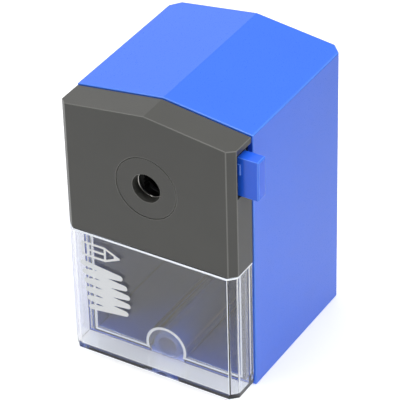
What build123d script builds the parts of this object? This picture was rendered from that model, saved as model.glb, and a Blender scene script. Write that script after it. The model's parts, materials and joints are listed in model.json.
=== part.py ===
"""Desktop pencil sharpener with a crank, a pull-out pencil feed and a clear shavings drawer.

Frame: millimetres, +Z up, +Y to the back, the pencil goes in from the front (-Y). The origin is on the
table, under the middle of the housing's base. Each piece is one BuildPart block, written to parts/.
"""

from build123d import *
from math import acos, atan, ceil, cos, floor, hypot, pi, radians, sin, tan
import os

# ---------------------------------------------------------------- driving dimensions
# Housing: an upright box with a shallow gable roof, open at the front.
WIDTH = 65.0
HOUSING_DEPTH = 60.0
EAVE = 98.9  # top of the side walls
RIDGE_RISE = 4.3  # ridge above the eaves
WALL = 2.2
REAR_CHAMFER = 3.3

# Bezel: the grey front that carries the pencil clamp and slides out on two rods.
BEZEL_DEPTH = 12.1
BEZEL_BOTTOM = 50.7
BEZEL_WALL = 2.2
BEZEL_FACE = 2.5
BEZEL_INSET = 0.35  # the housing stands this proud of the bezel all round
FRONT_CHAMFER = 2.5
PARTING_GAP = 0.4  # between the bezel or drawer and the housing's rim
FEED_TRAVEL = 34.0

# The pencil's line, which is also the crank's axis.
AXIS_Z = 75.7
PENCIL_R = 4.0
ENTRY_R = 5.2

# Pencil collar and its seam in the bezel's face.
COLLAR_R = 11.1
COLLAR_SEAM = 0.25
COLLAR_SEAM_DEPTH = 0.15
COLLAR_DEPTH = 3.4
COLLAR_FLANGE = 2.0

# Clamp mechanism in the bezel, front to back.
GUIDE_PLATE = 0.8
GUIDE_PLATE_R = 5.0
JAW_GAP = 3.2  # from the pencil's line to each jaw's teeth, at rest
JAW_DEPTH = 3.0
JAW_HEIGHT = 8.0
JAW_END = 8.0  # outer end of each jaw, from the pencil's line
JAW_DROP = 5.0  # lower end of the limbs that carry the jaws, below the pencil's line
JAW_TOOTH = 0.7
JAW_TOOTH_PITCH = 1.4
LIMB_END = 15.0  # outer side of the left limb, from the pencil's line
SLIDE_END = 16.5  # outer side of the right limb
CLAMP_COVER = 1.5
PLATE_MARGIN = 4.0  # guide plate and clamp cover past their screws, each side
PLATE_MARGIN_UP = 2.2
PLATE_CORNER = 2.5
SLIDE_CLEARANCE = 0.2
BAR_HEIGHT = 4.0
BAR_LIFT = 12.75  # bar's lower edge above the pencil's line
PINION_X = 11.0
PINION_TEETH = 12
PINION_MODULE = 0.5
PINION_BACKLASH = 0.16
PINION_PIN_R = 0.9
PINION_PIN_PROUD = 0.6  # past the clamp cover
RACK_ROOT = 1.6 * PINION_MODULE

# Push button at the bezel's right side.
BUTTON_PROUD = 6.5  # out of the bezel's side
BUTTON_HEIGHT = 14.4
BUTTON_DEPTH = 4.7
BUTTON_LIFT = 4.8  # its lower edge above the pencil's line
BUTTON_BACK = 2.7  # its rear face, in front of the housing's rim
BUTTON_ROOT = 1.2  # of the finger pad inside the bezel's side
BUTTON_BREAK = 0.4
SLOT_GAP = 0.6
SLOT_HEADROOM = 1.6
BUTTON_COIL_R = 1.4
BUTTON_WIRE_R = 0.2
BUTTON_TURNS = 7
SPIGOT_R = 1.0
SPIGOT = 3.0
SPRING_SEAT_R = 2.4
SPRING_SEAT = 1.4

# Rods, their bushes, springs and clips.
ROD_R = 2.0
ROD_X = 24.5
ROD_BOSS_R = 4.0
ROD_BOSS_SETBACK = 1.0
BUSH_WALL = 1.2
SLEEVE_WALL = 1.4
SLEEVE_LENGTH = 6.0
FEED_WIRE_R = 0.22
FEED_COIL_R = 2.65
FEED_TURNS = 13
FEED_PACKED = 8.5  # length of a feed spring with the bezel pulled right out
CLIP_R = 4.4
CLIP_THICK = 0.8
CLIP_SETBACK = 1.2

# Inner frame behind the bezel.
FRAME_SET_IN = 1.0
FRAME_THICK = 2.5
FRAME_GAP = 0.15
FRAME_LIP = 2.0
FRAME_LIP_DEPTH = 5.0

# Cutter carrier.
NOSE_R = 6.5
NOSE_BORE = 4.4
NOSE_BUSH_WALL = 1.5
NOSE_BUSH_FLANGE = 1.5
NOSE_BUSH_LIP = 1.0
NOSE_BOSS = 3.0  # bush housing behind the inner frame
NOSE_BOSS_WALL = 1.8
NOSE_REACH = 16.0  # nose length behind the housing's rim
WEB_R = 14.5
WEB_THICK = 4.0
TROUGH_GAP = 0.5  # between the carrier's trough and the ring gear's teeth
SHAFT_R = 5.0
SHAFT_FLAT = 1.2
RUNNING = 0.06  # radial clearance of what turns or slides
SEAT = 0.02  # radial clearance of what is fixed in a hole
CUT_PAST = 1.0  # how far a cut runs past the face that it opens

# Cutter: its axis leans to the pencil's line, so that its side cuts the cone.
CONE_LENGTH = 21.0
CUT_START = 21.0  # behind the housing's rim
CUTTER_TEETH = 12
CUTTER_TOOTH = 0.9
CUTTER_TWIST = 110.0
CUTTER_PIN_R = 1.6
CUTTER_ROOM = 0.6

# Gears that spin the cutter: a planet inside a fixed ring.
GEAR_MODULE = 0.8
PLANET_TEETH = 17
RING_TEETH = 27
GEAR_WIDTH = 2.4
RING_WIDTH = 3.4
RING_R = 14.6
GEAR_BACKLASH = 0.42
RING_TOOTH_IN = 0.5  # ring teeth inside their pitch line
RING_TOOTH_OUT = 1.05
PLANET_TOOTH_IN = 1.0
PLANET_TOOTH_OUT = 0.55
PRESSURE_ANGLE = radians(25)

# Rear collar that holds the ring gear and the rear bearing in the back wall.
SOCKET_R = 17.0
REAR_COLLAR_R = 16.8
REAR_FLANGE_R = 20.0
REAR_FLANGE = 2.0
REAR_REACH = 10.5
REAR_END_WALL = 1.6
LUG_COUNT = 3
LUG_WIDTH = 7.0
LUG_PROUD = 1.8
LUG_THICK = 1.6
LUG_TURN = 40.0  # between a lug and the notch that it went in by
LUG_GAP = 0.1
REAR_BREAK = 0.8
REAR_POCKET = 2.2  # wider than the trough
REAR_FLAT = 12.0
REAR_FLAT_DEPTH = 1.0

# Crank.
CRANK_THROW = 45.0
CRANK_HUB_R = 8.5
CRANK_HUB = 6.6
ARM_WIDTH = 10.0
ARM_THICK = 2.5
KNOB_R = 7.2
KNOB_LENGTH = 24.0
KNOB_SHOULDER = 2.6  # radius lost in the rounding at the knob's end
KNOB_POCKET = 3.0  # depth of the pocket for the pin's head
PIN_HEAD = 1.0
PIN_HEAD_GAP = 0.1
KNOB_NECK_R = 5.0
KNOB_PIN_R = 2.0
PIN_HEAD_R = 3.4

# Clamp socket: a tube along the base that takes a desk clamp's bar from behind.
SOCKET_TUBE_R = 5.2
SOCKET_BORE_R = 3.4
SOCKET_Z = 6.1
SOCKET_PROUD = 1.9  # in front of the housing's rim

# Shavings drawer: a full-width front tray and a narrower box behind it that goes into the housing.
DRAWER_GAP = 0.2  # below the bezel
DRAWER_PROUD = 0.3  # its front, in front of the bezel's
DRAWER_INSET = 0.3  # narrower than the bezel, each side
DRAWER_WALL = 1.8
DRAWER_Z = 1.3  # its underside
TRAY_DEPTH = 9.4  # from its front face to the flange that the box grows from
TRAY_FLOOR = 1.2
TRAY_SKIRT = 1.2
FLANGE_THICK = 1.6
FLANGE_IN = 0.7  # flange edge inside the tray's side, each side
FLANGE_RISE = 0.5
BOX_OUTER = 29.1  # half width of the box
BOX_WALL = 1.2
BOX_FLOOR_GAP = 0.5  # above the housing's floor
BOX_RIM_DROP = 1.2
TAIL_GAP = 3.6
TUNNEL_GAP = 1.6
TUNNEL_WALL = 1.0
TUNNEL_LIFT = 0.3  # its centre above the tube's
TUNNEL_END = 0.8  # wall that closes the tunnel in front of the tube's mouth

# Fasteners.
SCREW_R = 1.25
SCREW_HEAD_R = 2.3
SCREW_HEAD = 1.3
SCREW_LENGTH = 8.0
CROSS_SLOT = 0.5
SCREW_EASE = 0.2  # radial clearance of a screw's shank
BOSS_R = 3.0
BOSS_END = 1.5
COVER_BOSS_R = 2.3
COVER_SCREW_R = 0.9
COVER_SCREW_HEAD_R = 1.7
COVER_SCREW_HEAD = 0.9
COVER_SCREW_LENGTH = 3.5
COVER_SCREW_X = 13.0
COVER_SCREW_DOWN = 12.0
COVER_SCREW_UP = 20.2
PAD_R = 4.5
PAD_THICK = 1.2
PAD_INSET = 10.0  # centre of a non-slip pad, in from the housing's sides

# ---------------------------------------------------------------- places worked out from them
HALF = WIDTH / 2
FRONT = -HOUSING_DEPTH / 2
BACK = HOUSING_DEPTH / 2
RIDGE = EAVE + RIDGE_RISE
SLOPE = RIDGE_RISE / HALF
ROOF_STRETCH = hypot(1, SLOPE)  # a wall measured straight up, over its thickness

FACE_Y = FRONT - BEZEL_DEPTH
BEZEL_HALF = HALF - BEZEL_INSET
BEZEL_BACK = FRONT - PARTING_GAP
COLLAR_BACK = FACE_Y + COLLAR_DEPTH
PLATE_BACK = COLLAR_BACK + GUIDE_PLATE
JAW_FRONT = PLATE_BACK + SLIDE_CLEARANCE
JAW_BACK = JAW_FRONT + JAW_DEPTH
COVER_FRONT = JAW_BACK + SLIDE_CLEARANCE
COVER_BACK = COVER_FRONT + CLAMP_COVER

RING_TIP_R = GEAR_MODULE * RING_TEETH / 2 - RING_TOOTH_IN
TROUGH_R = RING_TIP_R - TROUGH_GAP

PINION_PITCH_R = PINION_MODULE * PINION_TEETH / 2
RACK_LINE = BAR_LIFT - PINION_MODULE  # upper rack's pitch line above the pencil's line
PINION_Z = AXIS_Z + RACK_LINE - PINION_PITCH_R
LOWER_LINE = RACK_LINE - 2 * PINION_PITCH_R

ROD_HEAD = FACE_Y + BEZEL_FACE + 1.0
FRAME_FRONT = FRONT + FRAME_SET_IN
FRAME_BACK = FRAME_FRONT + FRAME_THICK
SLEEVE_END = FRAME_BACK + SLEEVE_LENGTH
CLIP_Y = SLEEVE_END + FEED_PACKED + FEED_TRAVEL
ROD_END = CLIP_Y + CLIP_THICK + CLIP_SETBACK

CONE_TIP = FRONT + CUT_START + CONE_LENGTH
LEAN_TAN = PENCIL_R / CONE_LENGTH
LEAN = atan(LEAN_TAN)
GEAR_CENTRES = GEAR_MODULE * (RING_TEETH - PLANET_TEETH) / 2
RING_BACK = BACK - REAR_REACH + RING_WIDTH + 1.0
GEAR_Y = RING_BACK - RING_WIDTH / 2
CUTTER_R = (GEAR_CENTRES + LEAN_TAN * (GEAR_Y - CONE_TIP)) * cos(LEAN)
WEB_FRONT = FRONT + NOSE_REACH - 1.0
WEB_BACK = WEB_FRONT + WEB_THICK
TAIL_FRONT = RING_BACK + 0.9
TAIL_BACK = BACK - REAR_END_WALL + REAR_FLANGE - 2.3
HUB_FRONT = BACK + REAR_FLANGE + 0.6
HUB_BACK = HUB_FRONT + CRANK_HUB
ARM_FRONT = HUB_BACK - ARM_THICK
SHAFT_END = ARM_FRONT - 0.3
KNOB_FRONT = HUB_BACK + 1.0

DRAWER_HALF = BEZEL_HALF - DRAWER_INSET
DRAWER_TOP = BEZEL_BOTTOM - DRAWER_GAP
DRAWER_FACE = FACE_Y - DRAWER_PROUD
BOX_INNER = BOX_OUTER - BOX_WALL
BOX_FLOOR = WALL + BOX_FLOOR_GAP
BOX_TAIL = BACK - WALL - TAIL_GAP
STEP_FRONT = DRAWER_FACE + TRAY_DEPTH
TUNNEL_R = SOCKET_TUBE_R + TUNNEL_GAP
TUNNEL_Z = SOCKET_Z + TUNNEL_LIFT

INNER_HALF = HALF - WALL
SCREW_X = INNER_HALF - BOSS_R + 0.3
SCREW_ZS = (BEZEL_BOTTOM + BOSS_R + 1.0, EAVE - WALL - BOSS_R - 1.0)
COVER_SCREWS = [(x, z) for x in (-COVER_SCREW_X, COVER_SCREW_X) for z in (-COVER_SCREW_DOWN, COVER_SCREW_UP)]


# ---------------------------------------------------------------- shared shapes
def upright(y):
    """Vertical sketch plane across the pencil's line at depth y: local x is +X and local y is +Z."""
    return Plane.XZ.offset(-y)


def roof_z(x, drop=0.0):
    """Height of the gable roof above x, or of a roof parallel to it and drop lower, straight down."""
    return RIDGE - abs(x) * SLOPE - drop


def gable(half_width, bottom, drop=0.0):
    """House-shaped face on the current sketch: flat base, upright sides and the shallow gable on top."""
    with BuildLine() as outline:
        Polyline(
            (-half_width, bottom),
            (half_width, bottom),
            (half_width, roof_z(half_width, drop)),
            (0, roof_z(0, drop)),
            (-half_width, roof_z(half_width, drop)),
            close=True,
        )
    make_face(outline.edges())


def involute(angle):
    return tan(angle) - angle


def tooth_half_angle(radius, teeth, module, backlash):
    """Half the angle that an involute tooth takes up at a radius; a negative backlash widens it."""
    pitch_r = module * teeth / 2
    base_r = pitch_r * cos(PRESSURE_ANGLE)
    local = acos(min(1.0, base_r / radius))
    return pi / (2 * teeth) - backlash / (4 * pitch_r) + involute(PRESSURE_ANGLE) - involute(local)


def gear_outline(teeth, module, inner_r, outer_r, backlash):
    """Closed polyline of a gear, or of a ring gear's hole, with one tooth centred on local +y."""
    pitch_r = module * teeth / 2
    points = []
    for tooth in range(teeth):
        centre = pi / 2 - 2 * pi * tooth / teeth
        flank = [(r, tooth_half_angle(r, teeth, module, backlash)) for r in (inner_r, pitch_r, outer_r)]
        left = [(r * cos(centre + a), r * sin(centre + a)) for r, a in flank]
        right = [(r * cos(centre - a), r * sin(centre - a)) for r, a in reversed(flank)]
        points += left + right
    with BuildLine() as outline:
        Polyline(*points, close=True)
    make_face(outline.edges())


def rack_teeth(line, up, first_x, last_x):
    """Rack teeth on a pitch line, pointing up (1) or down (-1), with a gap under PINION_X."""
    pitch = pi * PINION_MODULE
    addendum, root = 0.85 * PINION_MODULE, RACK_ROOT
    quarter = pitch / 4 - PINION_BACKLASH / 4
    spread = tan(PRESSURE_ANGLE)
    first = ceil((first_x - PINION_X) / pitch - 0.5)
    last = floor((last_x - PINION_X) / pitch - 0.5)
    for step in range(first, last + 1):
        x = PINION_X + (step + 0.5) * pitch
        tip, foot = quarter - addendum * spread, quarter + root * spread
        with BuildLine() as outline:
            Polyline(
                (x - foot, line - up * root),
                (x - tip, line + up * addendum),
                (x + tip, line + up * addendum),
                (x + foot, line - up * root),
                close=True,
            )
        make_face(outline.edges())


def cutter_offset(y):
    """Distance from the pencil's line to the cutter's leaning axis at depth y."""
    return CUTTER_R / cos(LEAN) - LEAN_TAN * (y - CONE_TIP)


def cutter_plane(y):
    """Plane square to the cutter's axis where the axis is at depth y; +z runs to the back, +y up."""
    return Plane(
        origin=(0, y, AXIS_Z + cutter_offset(y)), x_dir=(-1, 0, 0), z_dir=(0, cos(LEAN), -sin(LEAN))
    )


def disc(plane, radius, length, hole=0.0, mode=Mode.ADD):
    """Round disc or ring extruded along the plane's normal, added to the part in hand."""
    with BuildSketch(plane) as section:
        Circle(radius)
        if hole:
            Circle(hole, mode=Mode.SUBTRACT)
    extrude(section.sketch, amount=length, mode=mode)


def along(x, y, z):
    """Plane at a point, facing the back, for discs that are laid out from front to back."""
    return Plane(origin=(x, y, z), x_dir=(1, 0, 0), z_dir=(0, 1, 0))


def screw(x, z, head_y, head_r, shank_r, length):
    """Pan-head screw driven towards the back: head in front of head_y, shank behind it, crossed slot."""
    disc(along(x, head_y - SCREW_HEAD, z), head_r, SCREW_HEAD)
    disc(along(x, head_y, z), shank_r, length)
    with BuildSketch(along(x, head_y - SCREW_HEAD, z)) as recess:
        Rectangle(1.4 * head_r, CROSS_SLOT)
        Rectangle(CROSS_SLOT, 1.4 * head_r)
    extrude(recess.sketch, amount=SCREW_HEAD / 2, mode=Mode.SUBTRACT)


def spring(start, direction, length, coil_r, wire_r, turns):
    """Open helical spring as one swept wire, from a start point along a direction."""
    height = length - 2 * wire_r
    with BuildLine() as coil:
        Helix(height / turns, height, coil_r, center=start, direction=direction)
    with BuildSketch(Plane(origin=coil.line @ 0, z_dir=coil.line % 0)) as wire:
        Circle(wire_r)
    sweep(wire.sketch, path=coil.line, is_frenet=True)


def save(part, label):
    """Names a finished piece and writes it as its own STEP file."""
    part.label = label
    export_step(part, f"parts/{label}.step")


os.makedirs("parts", exist_ok=True)

# ---------------------------------------------------------------- housing and what is fixed in it
with BuildPart() as housing:
    with BuildSketch(upright(FRONT)):
        gable(HALF, 0)
    extrude(amount=-HOUSING_DEPTH)
    rear_edges = housing.edges().filter_by(Axis.Z).group_by(Axis.Y)[-1]
    chamfer(rear_edges, REAR_CHAMFER)
    with BuildSketch(upright(FRONT)):
        gable(INNER_HALF, WALL, WALL * ROOF_STRETCH)
    extrude(amount=-(HOUSING_DEPTH - WALL), mode=Mode.SUBTRACT)
    # bosses for the inner frame's screws
    for side in (-1, 1):
        for z in SCREW_ZS:
            disc(along(side * SCREW_X, FRAME_BACK, z), BOSS_R, SCREW_LENGTH + BOSS_END)
            disc(along(side * SCREW_X, FRAME_BACK, z), SCREW_R + SEAT, SCREW_LENGTH, mode=Mode.SUBTRACT)
    # clamp socket tube, open at both ends
    disc(along(0, FRONT - SOCKET_PROUD, SOCKET_Z), SOCKET_TUBE_R, HOUSING_DEPTH + SOCKET_PROUD - WALL / 2)
    disc(
        along(0, FRONT - SOCKET_PROUD, SOCKET_Z),
        SOCKET_BORE_R,
        HOUSING_DEPTH + SOCKET_PROUD,
        mode=Mode.SUBTRACT,
    )
    # round opening in the back wall for the rear collar, with the notches that its lugs go in by
    disc(along(0, BACK - WALL, AXIS_Z), SOCKET_R, WALL, mode=Mode.SUBTRACT)
    with BuildSketch(along(0, BACK - WALL, AXIS_Z)):
        with PolarLocations(SOCKET_R, LUG_COUNT, start_angle=90 + LUG_TURN):
            Rectangle(2 * (LUG_PROUD + 0.3), LUG_WIDTH + 1.0)
    extrude(amount=WALL, mode=Mode.SUBTRACT)
    # seats for the non-slip pads
    with BuildSketch(Plane.XY):
        with GridLocations(WIDTH - 2 * PAD_INSET, HOUSING_DEPTH - 2 * PAD_INSET, 2, 2):
            Circle(PAD_R + SEAT)
    extrude(amount=PAD_THICK, mode=Mode.SUBTRACT)
save(housing.part, "housing")

with BuildPart() as rubber_pads:
    with BuildSketch(Plane.XY):
        with GridLocations(WIDTH - 2 * PAD_INSET, HOUSING_DEPTH - 2 * PAD_INSET, 2, 2):
            Circle(PAD_R)
    extrude(amount=PAD_THICK)
save(rubber_pads.part, "rubber_pads")

with BuildPart() as inner_frame:
    with BuildSketch(upright(FRAME_FRONT)):
        gable(INNER_HALF - FRAME_GAP, BEZEL_BOTTOM, (WALL + FRAME_GAP) * ROOF_STRETCH)
    extrude(amount=-FRAME_THICK)
    # lip along the lower edge, which also keeps the drawer down
    with BuildSketch(upright(FRAME_BACK)):
        with Locations((0, BEZEL_BOTTOM + FRAME_LIP / 2)):
            Rectangle(2 * (SCREW_X - BOSS_R - 1.0), FRAME_LIP)
    extrude(amount=-FRAME_LIP_DEPTH)
    for side in (-1, 1):
        disc(
            along(side * ROD_X, FRAME_FRONT, AXIS_Z),
            ROD_R + BUSH_WALL + SLEEVE_WALL,
            FRAME_THICK + SLEEVE_LENGTH,
        )
        disc(
            along(side * ROD_X, FRAME_FRONT, AXIS_Z),
            ROD_R + BUSH_WALL + SEAT,
            FRAME_THICK + SLEEVE_LENGTH,
            mode=Mode.SUBTRACT,
        )
        for z in SCREW_ZS:
            disc(along(side * SCREW_X, FRAME_FRONT, z), SCREW_R + SCREW_EASE, FRAME_THICK, mode=Mode.SUBTRACT)
    disc(
        along(0, FRAME_FRONT, AXIS_Z),
        NOSE_R + NOSE_BUSH_WALL + NOSE_BOSS_WALL,
        FRAME_THICK + NOSE_BOSS,
    )
    disc(
        along(0, FRAME_FRONT, AXIS_Z),
        NOSE_R + NOSE_BUSH_WALL + SEAT,
        FRAME_THICK + NOSE_BOSS,
        mode=Mode.SUBTRACT,
    )
save(inner_frame.part, "inner_frame")

with BuildPart() as nose_bush:
    disc(
        along(0, FRAME_FRONT, AXIS_Z),
        NOSE_R + NOSE_BUSH_WALL,
        FRAME_THICK + NOSE_BOSS,
        hole=NOSE_R + RUNNING,
    )
    disc(
        along(0, FRAME_BACK + NOSE_BOSS, AXIS_Z),
        NOSE_R + NOSE_BUSH_WALL + NOSE_BUSH_FLANGE,
        NOSE_BUSH_LIP,
        hole=NOSE_R + RUNNING,
    )
save(nose_bush.part, "nose_bush")

with BuildPart() as rod_bushes:
    for side in (-1, 1):
        disc(
            along(side * ROD_X, FRAME_FRONT, AXIS_Z),
            ROD_R + BUSH_WALL,
            FRAME_THICK + SLEEVE_LENGTH,
            hole=ROD_R + RUNNING,
        )
save(rod_bushes.part, "rod_bushes")

with BuildPart() as frame_screws:
    for side in (-1, 1):
        for z in SCREW_ZS:
            screw(side * SCREW_X, z, FRAME_FRONT, SCREW_HEAD_R, SCREW_R, FRAME_THICK + SCREW_LENGTH - 1.0)
save(frame_screws.part, "frame_screws")

with BuildPart() as rear_collar:
    disc(along(0, BACK - REAR_REACH, AXIS_Z), REAR_COLLAR_R, REAR_REACH)
    disc(along(0, BACK, AXIS_Z), REAR_FLANGE_R, REAR_FLANGE)
    chamfer(rear_collar.edges().filter_by(GeomType.CIRCLE).group_by(Axis.Y)[-1], REAR_BREAK)
    # pocket for the carrier's tail, then the wider seat for the ring gear
    disc(
        along(0, BACK - REAR_REACH, AXIS_Z),
        TROUGH_R + REAR_POCKET,
        TAIL_BACK + 0.3 - (BACK - REAR_REACH),
        mode=Mode.SUBTRACT,
    )
    disc(
        along(0, BACK - REAR_REACH, AXIS_Z),
        RING_R + SEAT,
        RING_BACK - (BACK - REAR_REACH),
        mode=Mode.SUBTRACT,
    )
    disc(along(0, BACK - REAR_REACH, AXIS_Z), SHAFT_R + RUNNING, REAR_REACH + REAR_FLANGE, mode=Mode.SUBTRACT)
    # lugs behind the back wall
    with BuildSketch(along(0, BACK - WALL - LUG_THICK - LUG_GAP, AXIS_Z)):
        with PolarLocations(REAR_COLLAR_R + LUG_PROUD / 2, LUG_COUNT, start_angle=90):
            Rectangle(LUG_PROUD + 1.0, LUG_WIDTH)
        Circle(RING_R + 1.0, mode=Mode.SUBTRACT)
    extrude(amount=LUG_THICK)
    # two flats to turn the collar by
    with BuildSketch(along(0, BACK + REAR_FLANGE - REAR_FLAT_DEPTH, AXIS_Z)):
        with PolarLocations(REAR_FLANGE_R, 2, start_angle=0):
            Rectangle(3 * REAR_FLAT_DEPTH, REAR_FLAT)
    extrude(amount=REAR_FLAT_DEPTH, mode=Mode.SUBTRACT)
save(rear_collar.part, "rear_collar")

with BuildPart() as ring_gear:
    with BuildSketch(along(0, RING_BACK - RING_WIDTH, AXIS_Z)):
        Circle(RING_R)
    extrude(amount=RING_WIDTH)
    with BuildSketch(Plane(origin=(0, RING_BACK - RING_WIDTH, AXIS_Z), x_dir=(-1, 0, 0), z_dir=(0, 1, 0))):
        root_r = GEAR_MODULE * RING_TEETH / 2 + RING_TOOTH_OUT
        gear_outline(RING_TEETH, GEAR_MODULE, RING_TIP_R, root_r, -GEAR_BACKLASH)
    extrude(amount=RING_WIDTH, mode=Mode.SUBTRACT)
save(ring_gear.part, "ring_gear")

# ---------------------------------------------------------------- front carriage
button_x = BEZEL_HALF + BUTTON_PROUD
button_z = AXIS_Z + BUTTON_LIFT
button_front = FRONT - BUTTON_BACK - BUTTON_DEPTH
slot_front = button_front - 3 * SLOT_GAP
slot_top = button_z + BUTTON_HEIGHT + SLOT_HEADROOM
spring_z = AXIS_Z + BAR_LIFT + BAR_HEIGHT / 2
mid_jaw = (JAW_FRONT + JAW_BACK) / 2
wall_seat = -BEZEL_HALF + BEZEL_WALL + SPRING_SEAT
plate_middle = AXIS_Z + (COVER_SCREW_UP - COVER_SCREW_DOWN) / 2
plate_width = 2 * (COVER_SCREW_X + PLATE_MARGIN)
plate_height = COVER_SCREW_UP + COVER_SCREW_DOWN + 2 * PLATE_MARGIN_UP

with BuildPart() as bezel:
    with BuildSketch(upright(FACE_Y)):
        gable(BEZEL_HALF, BEZEL_BOTTOM, BEZEL_INSET)
    extrude(amount=-(BEZEL_BACK - FACE_Y))
    front_edges = bezel.edges().filter_by(Axis.Z).group_by(Axis.Y)[0]
    chamfer(front_edges, FRONT_CHAMFER)
    with BuildSketch(upright(FACE_Y + BEZEL_FACE)):
        gable(BEZEL_HALF - BEZEL_WALL, BEZEL_BOTTOM + BEZEL_WALL, BEZEL_INSET + BEZEL_WALL * ROOF_STRETCH)
    extrude(amount=-(BEZEL_BACK - FACE_Y - BEZEL_FACE), mode=Mode.SUBTRACT)
    # thickened inner corners behind the chamfers
    for side in (-1, 1):
        with BuildSketch(Plane.XY.offset(BEZEL_BOTTOM)):
            corner_x = side * (BEZEL_HALF - BEZEL_WALL)
            corner_y = FACE_Y + BEZEL_FACE
            with BuildLine():
                Polyline(
                    (corner_x, corner_y),
                    (corner_x - side * FRONT_CHAMFER, corner_y),
                    (corner_x, corner_y + FRONT_CHAMFER),
                    close=True,
                )
            make_face()
        extrude(amount=roof_z(BEZEL_HALF, BEZEL_INSET + BEZEL_WALL) - BEZEL_BOTTOM)
    # rod bosses
    boss_back = BEZEL_BACK - ROD_BOSS_SETBACK
    for side in (-1, 1):
        disc(along(side * ROD_X, FACE_Y + BEZEL_FACE, AXIS_Z), ROD_BOSS_R, boss_back - FACE_Y - BEZEL_FACE)
        disc(
            along(side * ROD_X, ROD_HEAD, AXIS_Z),
            ROD_R + SEAT,
            boss_back - ROD_HEAD,
            mode=Mode.SUBTRACT,
        )
    # bosses that the clamp cover is screwed to
    for x, z in COVER_SCREWS:
        disc(along(x, FACE_Y + BEZEL_FACE, AXIS_Z + z), COVER_BOSS_R, COVER_FRONT - FACE_Y - BEZEL_FACE)
        disc(
            along(x, COVER_FRONT - COVER_SCREW_LENGTH - 0.5, AXIS_Z + z),
            COVER_SCREW_R + SEAT,
            COVER_SCREW_LENGTH + 0.5,
            mode=Mode.SUBTRACT,
        )
    # seat of the button's spring on the left wall
    with BuildSketch(Plane(origin=(-BEZEL_HALF + BEZEL_WALL, mid_jaw, spring_z), z_dir=(1, 0, 0))):
        Circle(SPRING_SEAT_R)
    extrude(amount=SPRING_SEAT)
    # opening for the pencil collar
    disc(
        along(0, FACE_Y, AXIS_Z),
        COLLAR_R + COLLAR_SEAM + SEAT,
        BEZEL_FACE,
        mode=Mode.SUBTRACT,
    )
    # slot in the right side for the button, open at the back
    with BuildSketch(Plane.YZ.offset(BEZEL_HALF - 2 * BEZEL_WALL)):
        slot_bottom = button_z - SLOT_GAP / 2
        with Locations(((slot_front + FRONT) / 2, (slot_bottom + slot_top) / 2)):
            Rectangle(FRONT - slot_front, slot_top - slot_bottom)
    extrude(amount=3 * BEZEL_WALL, mode=Mode.SUBTRACT)
save(bezel.part, "bezel")

with BuildPart() as pencil_collar:
    disc(along(0, FACE_Y, AXIS_Z), COLLAR_R, COLLAR_DEPTH)
    disc(
        along(0, FACE_Y + COLLAR_SEAM_DEPTH, AXIS_Z),
        COLLAR_R + COLLAR_SEAM,
        BEZEL_FACE - COLLAR_SEAM_DEPTH + SEAT,
    )
    disc(
        along(0, FACE_Y + BEZEL_FACE + SEAT, AXIS_Z),
        COLLAR_R + COLLAR_FLANGE,
        COLLAR_DEPTH - BEZEL_FACE - SEAT,
    )
    disc(along(0, FACE_Y, AXIS_Z), ENTRY_R, COLLAR_DEPTH, mode=Mode.SUBTRACT)
save(pencil_collar.part, "pencil_collar")

with BuildPart() as guide_plate:
    with BuildSketch(upright(COLLAR_BACK + SEAT)):
        with Locations((0, plate_middle)):
            RectangleRounded(plate_width, plate_height, PLATE_CORNER)
        with Locations((0, AXIS_Z)):
            Circle(GUIDE_PLATE_R, mode=Mode.SUBTRACT)
        with Locations(*[(x, AXIS_Z + z) for x, z in COVER_SCREWS]):
            Circle(COVER_BOSS_R + SCREW_EASE, mode=Mode.SUBTRACT)
    extrude(amount=-(GUIDE_PLATE - SEAT))
save(guide_plate.part, "guide_plate")

with BuildPart() as clamp_cover:
    with BuildSketch(upright(COVER_FRONT)):
        with Locations((0, plate_middle)):
            RectangleRounded(plate_width, plate_height, PLATE_CORNER)
        with Locations((0, AXIS_Z)):
            Circle(ENTRY_R + 0.6, mode=Mode.SUBTRACT)
        with Locations((PINION_X, PINION_Z)):
            Circle(PINION_PIN_R + SEAT, mode=Mode.SUBTRACT)
        with Locations(*[(x, AXIS_Z + z) for x, z in COVER_SCREWS]):
            Circle(COVER_SCREW_R + SCREW_EASE, mode=Mode.SUBTRACT)
    extrude(amount=-CLAMP_COVER)
save(clamp_cover.part, "clamp_cover")

with BuildPart() as cover_screws:
    for x, z in COVER_SCREWS:
        disc(
            along(x, COVER_FRONT - COVER_SCREW_LENGTH, AXIS_Z + z),
            COVER_SCREW_R,
            CLAMP_COVER + COVER_SCREW_LENGTH,
        )
        disc(along(x, COVER_BACK, AXIS_Z + z), COVER_SCREW_HEAD_R, COVER_SCREW_HEAD)
        with BuildSketch(along(x, COVER_BACK + COVER_SCREW_HEAD, AXIS_Z + z)):
            Rectangle(1.4 * COVER_SCREW_HEAD_R, CROSS_SLOT)
            Rectangle(CROSS_SLOT, 1.4 * COVER_SCREW_HEAD_R)
        extrude(amount=-COVER_SCREW_HEAD / 2, mode=Mode.SUBTRACT)
save(cover_screws.part, "cover_screws")

with BuildPart() as pinion_pin:
    disc(along(PINION_X, PLATE_BACK, PINION_Z), PINION_PIN_R, COVER_BACK + PINION_PIN_PROUD - PLATE_BACK)
save(pinion_pin.part, "pinion_pin")

with BuildPart() as guide_rods:
    for side in (-1, 1):
        disc(along(side * ROD_X, ROD_HEAD, AXIS_Z), ROD_R, ROD_END - ROD_HEAD)
        disc(
            along(side * ROD_X, CLIP_Y, AXIS_Z),
            ROD_R + 0.5,
            CLIP_THICK,
            hole=ROD_R - 0.4,
            mode=Mode.SUBTRACT,
        )
save(guide_rods.part, "guide_rods")

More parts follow.
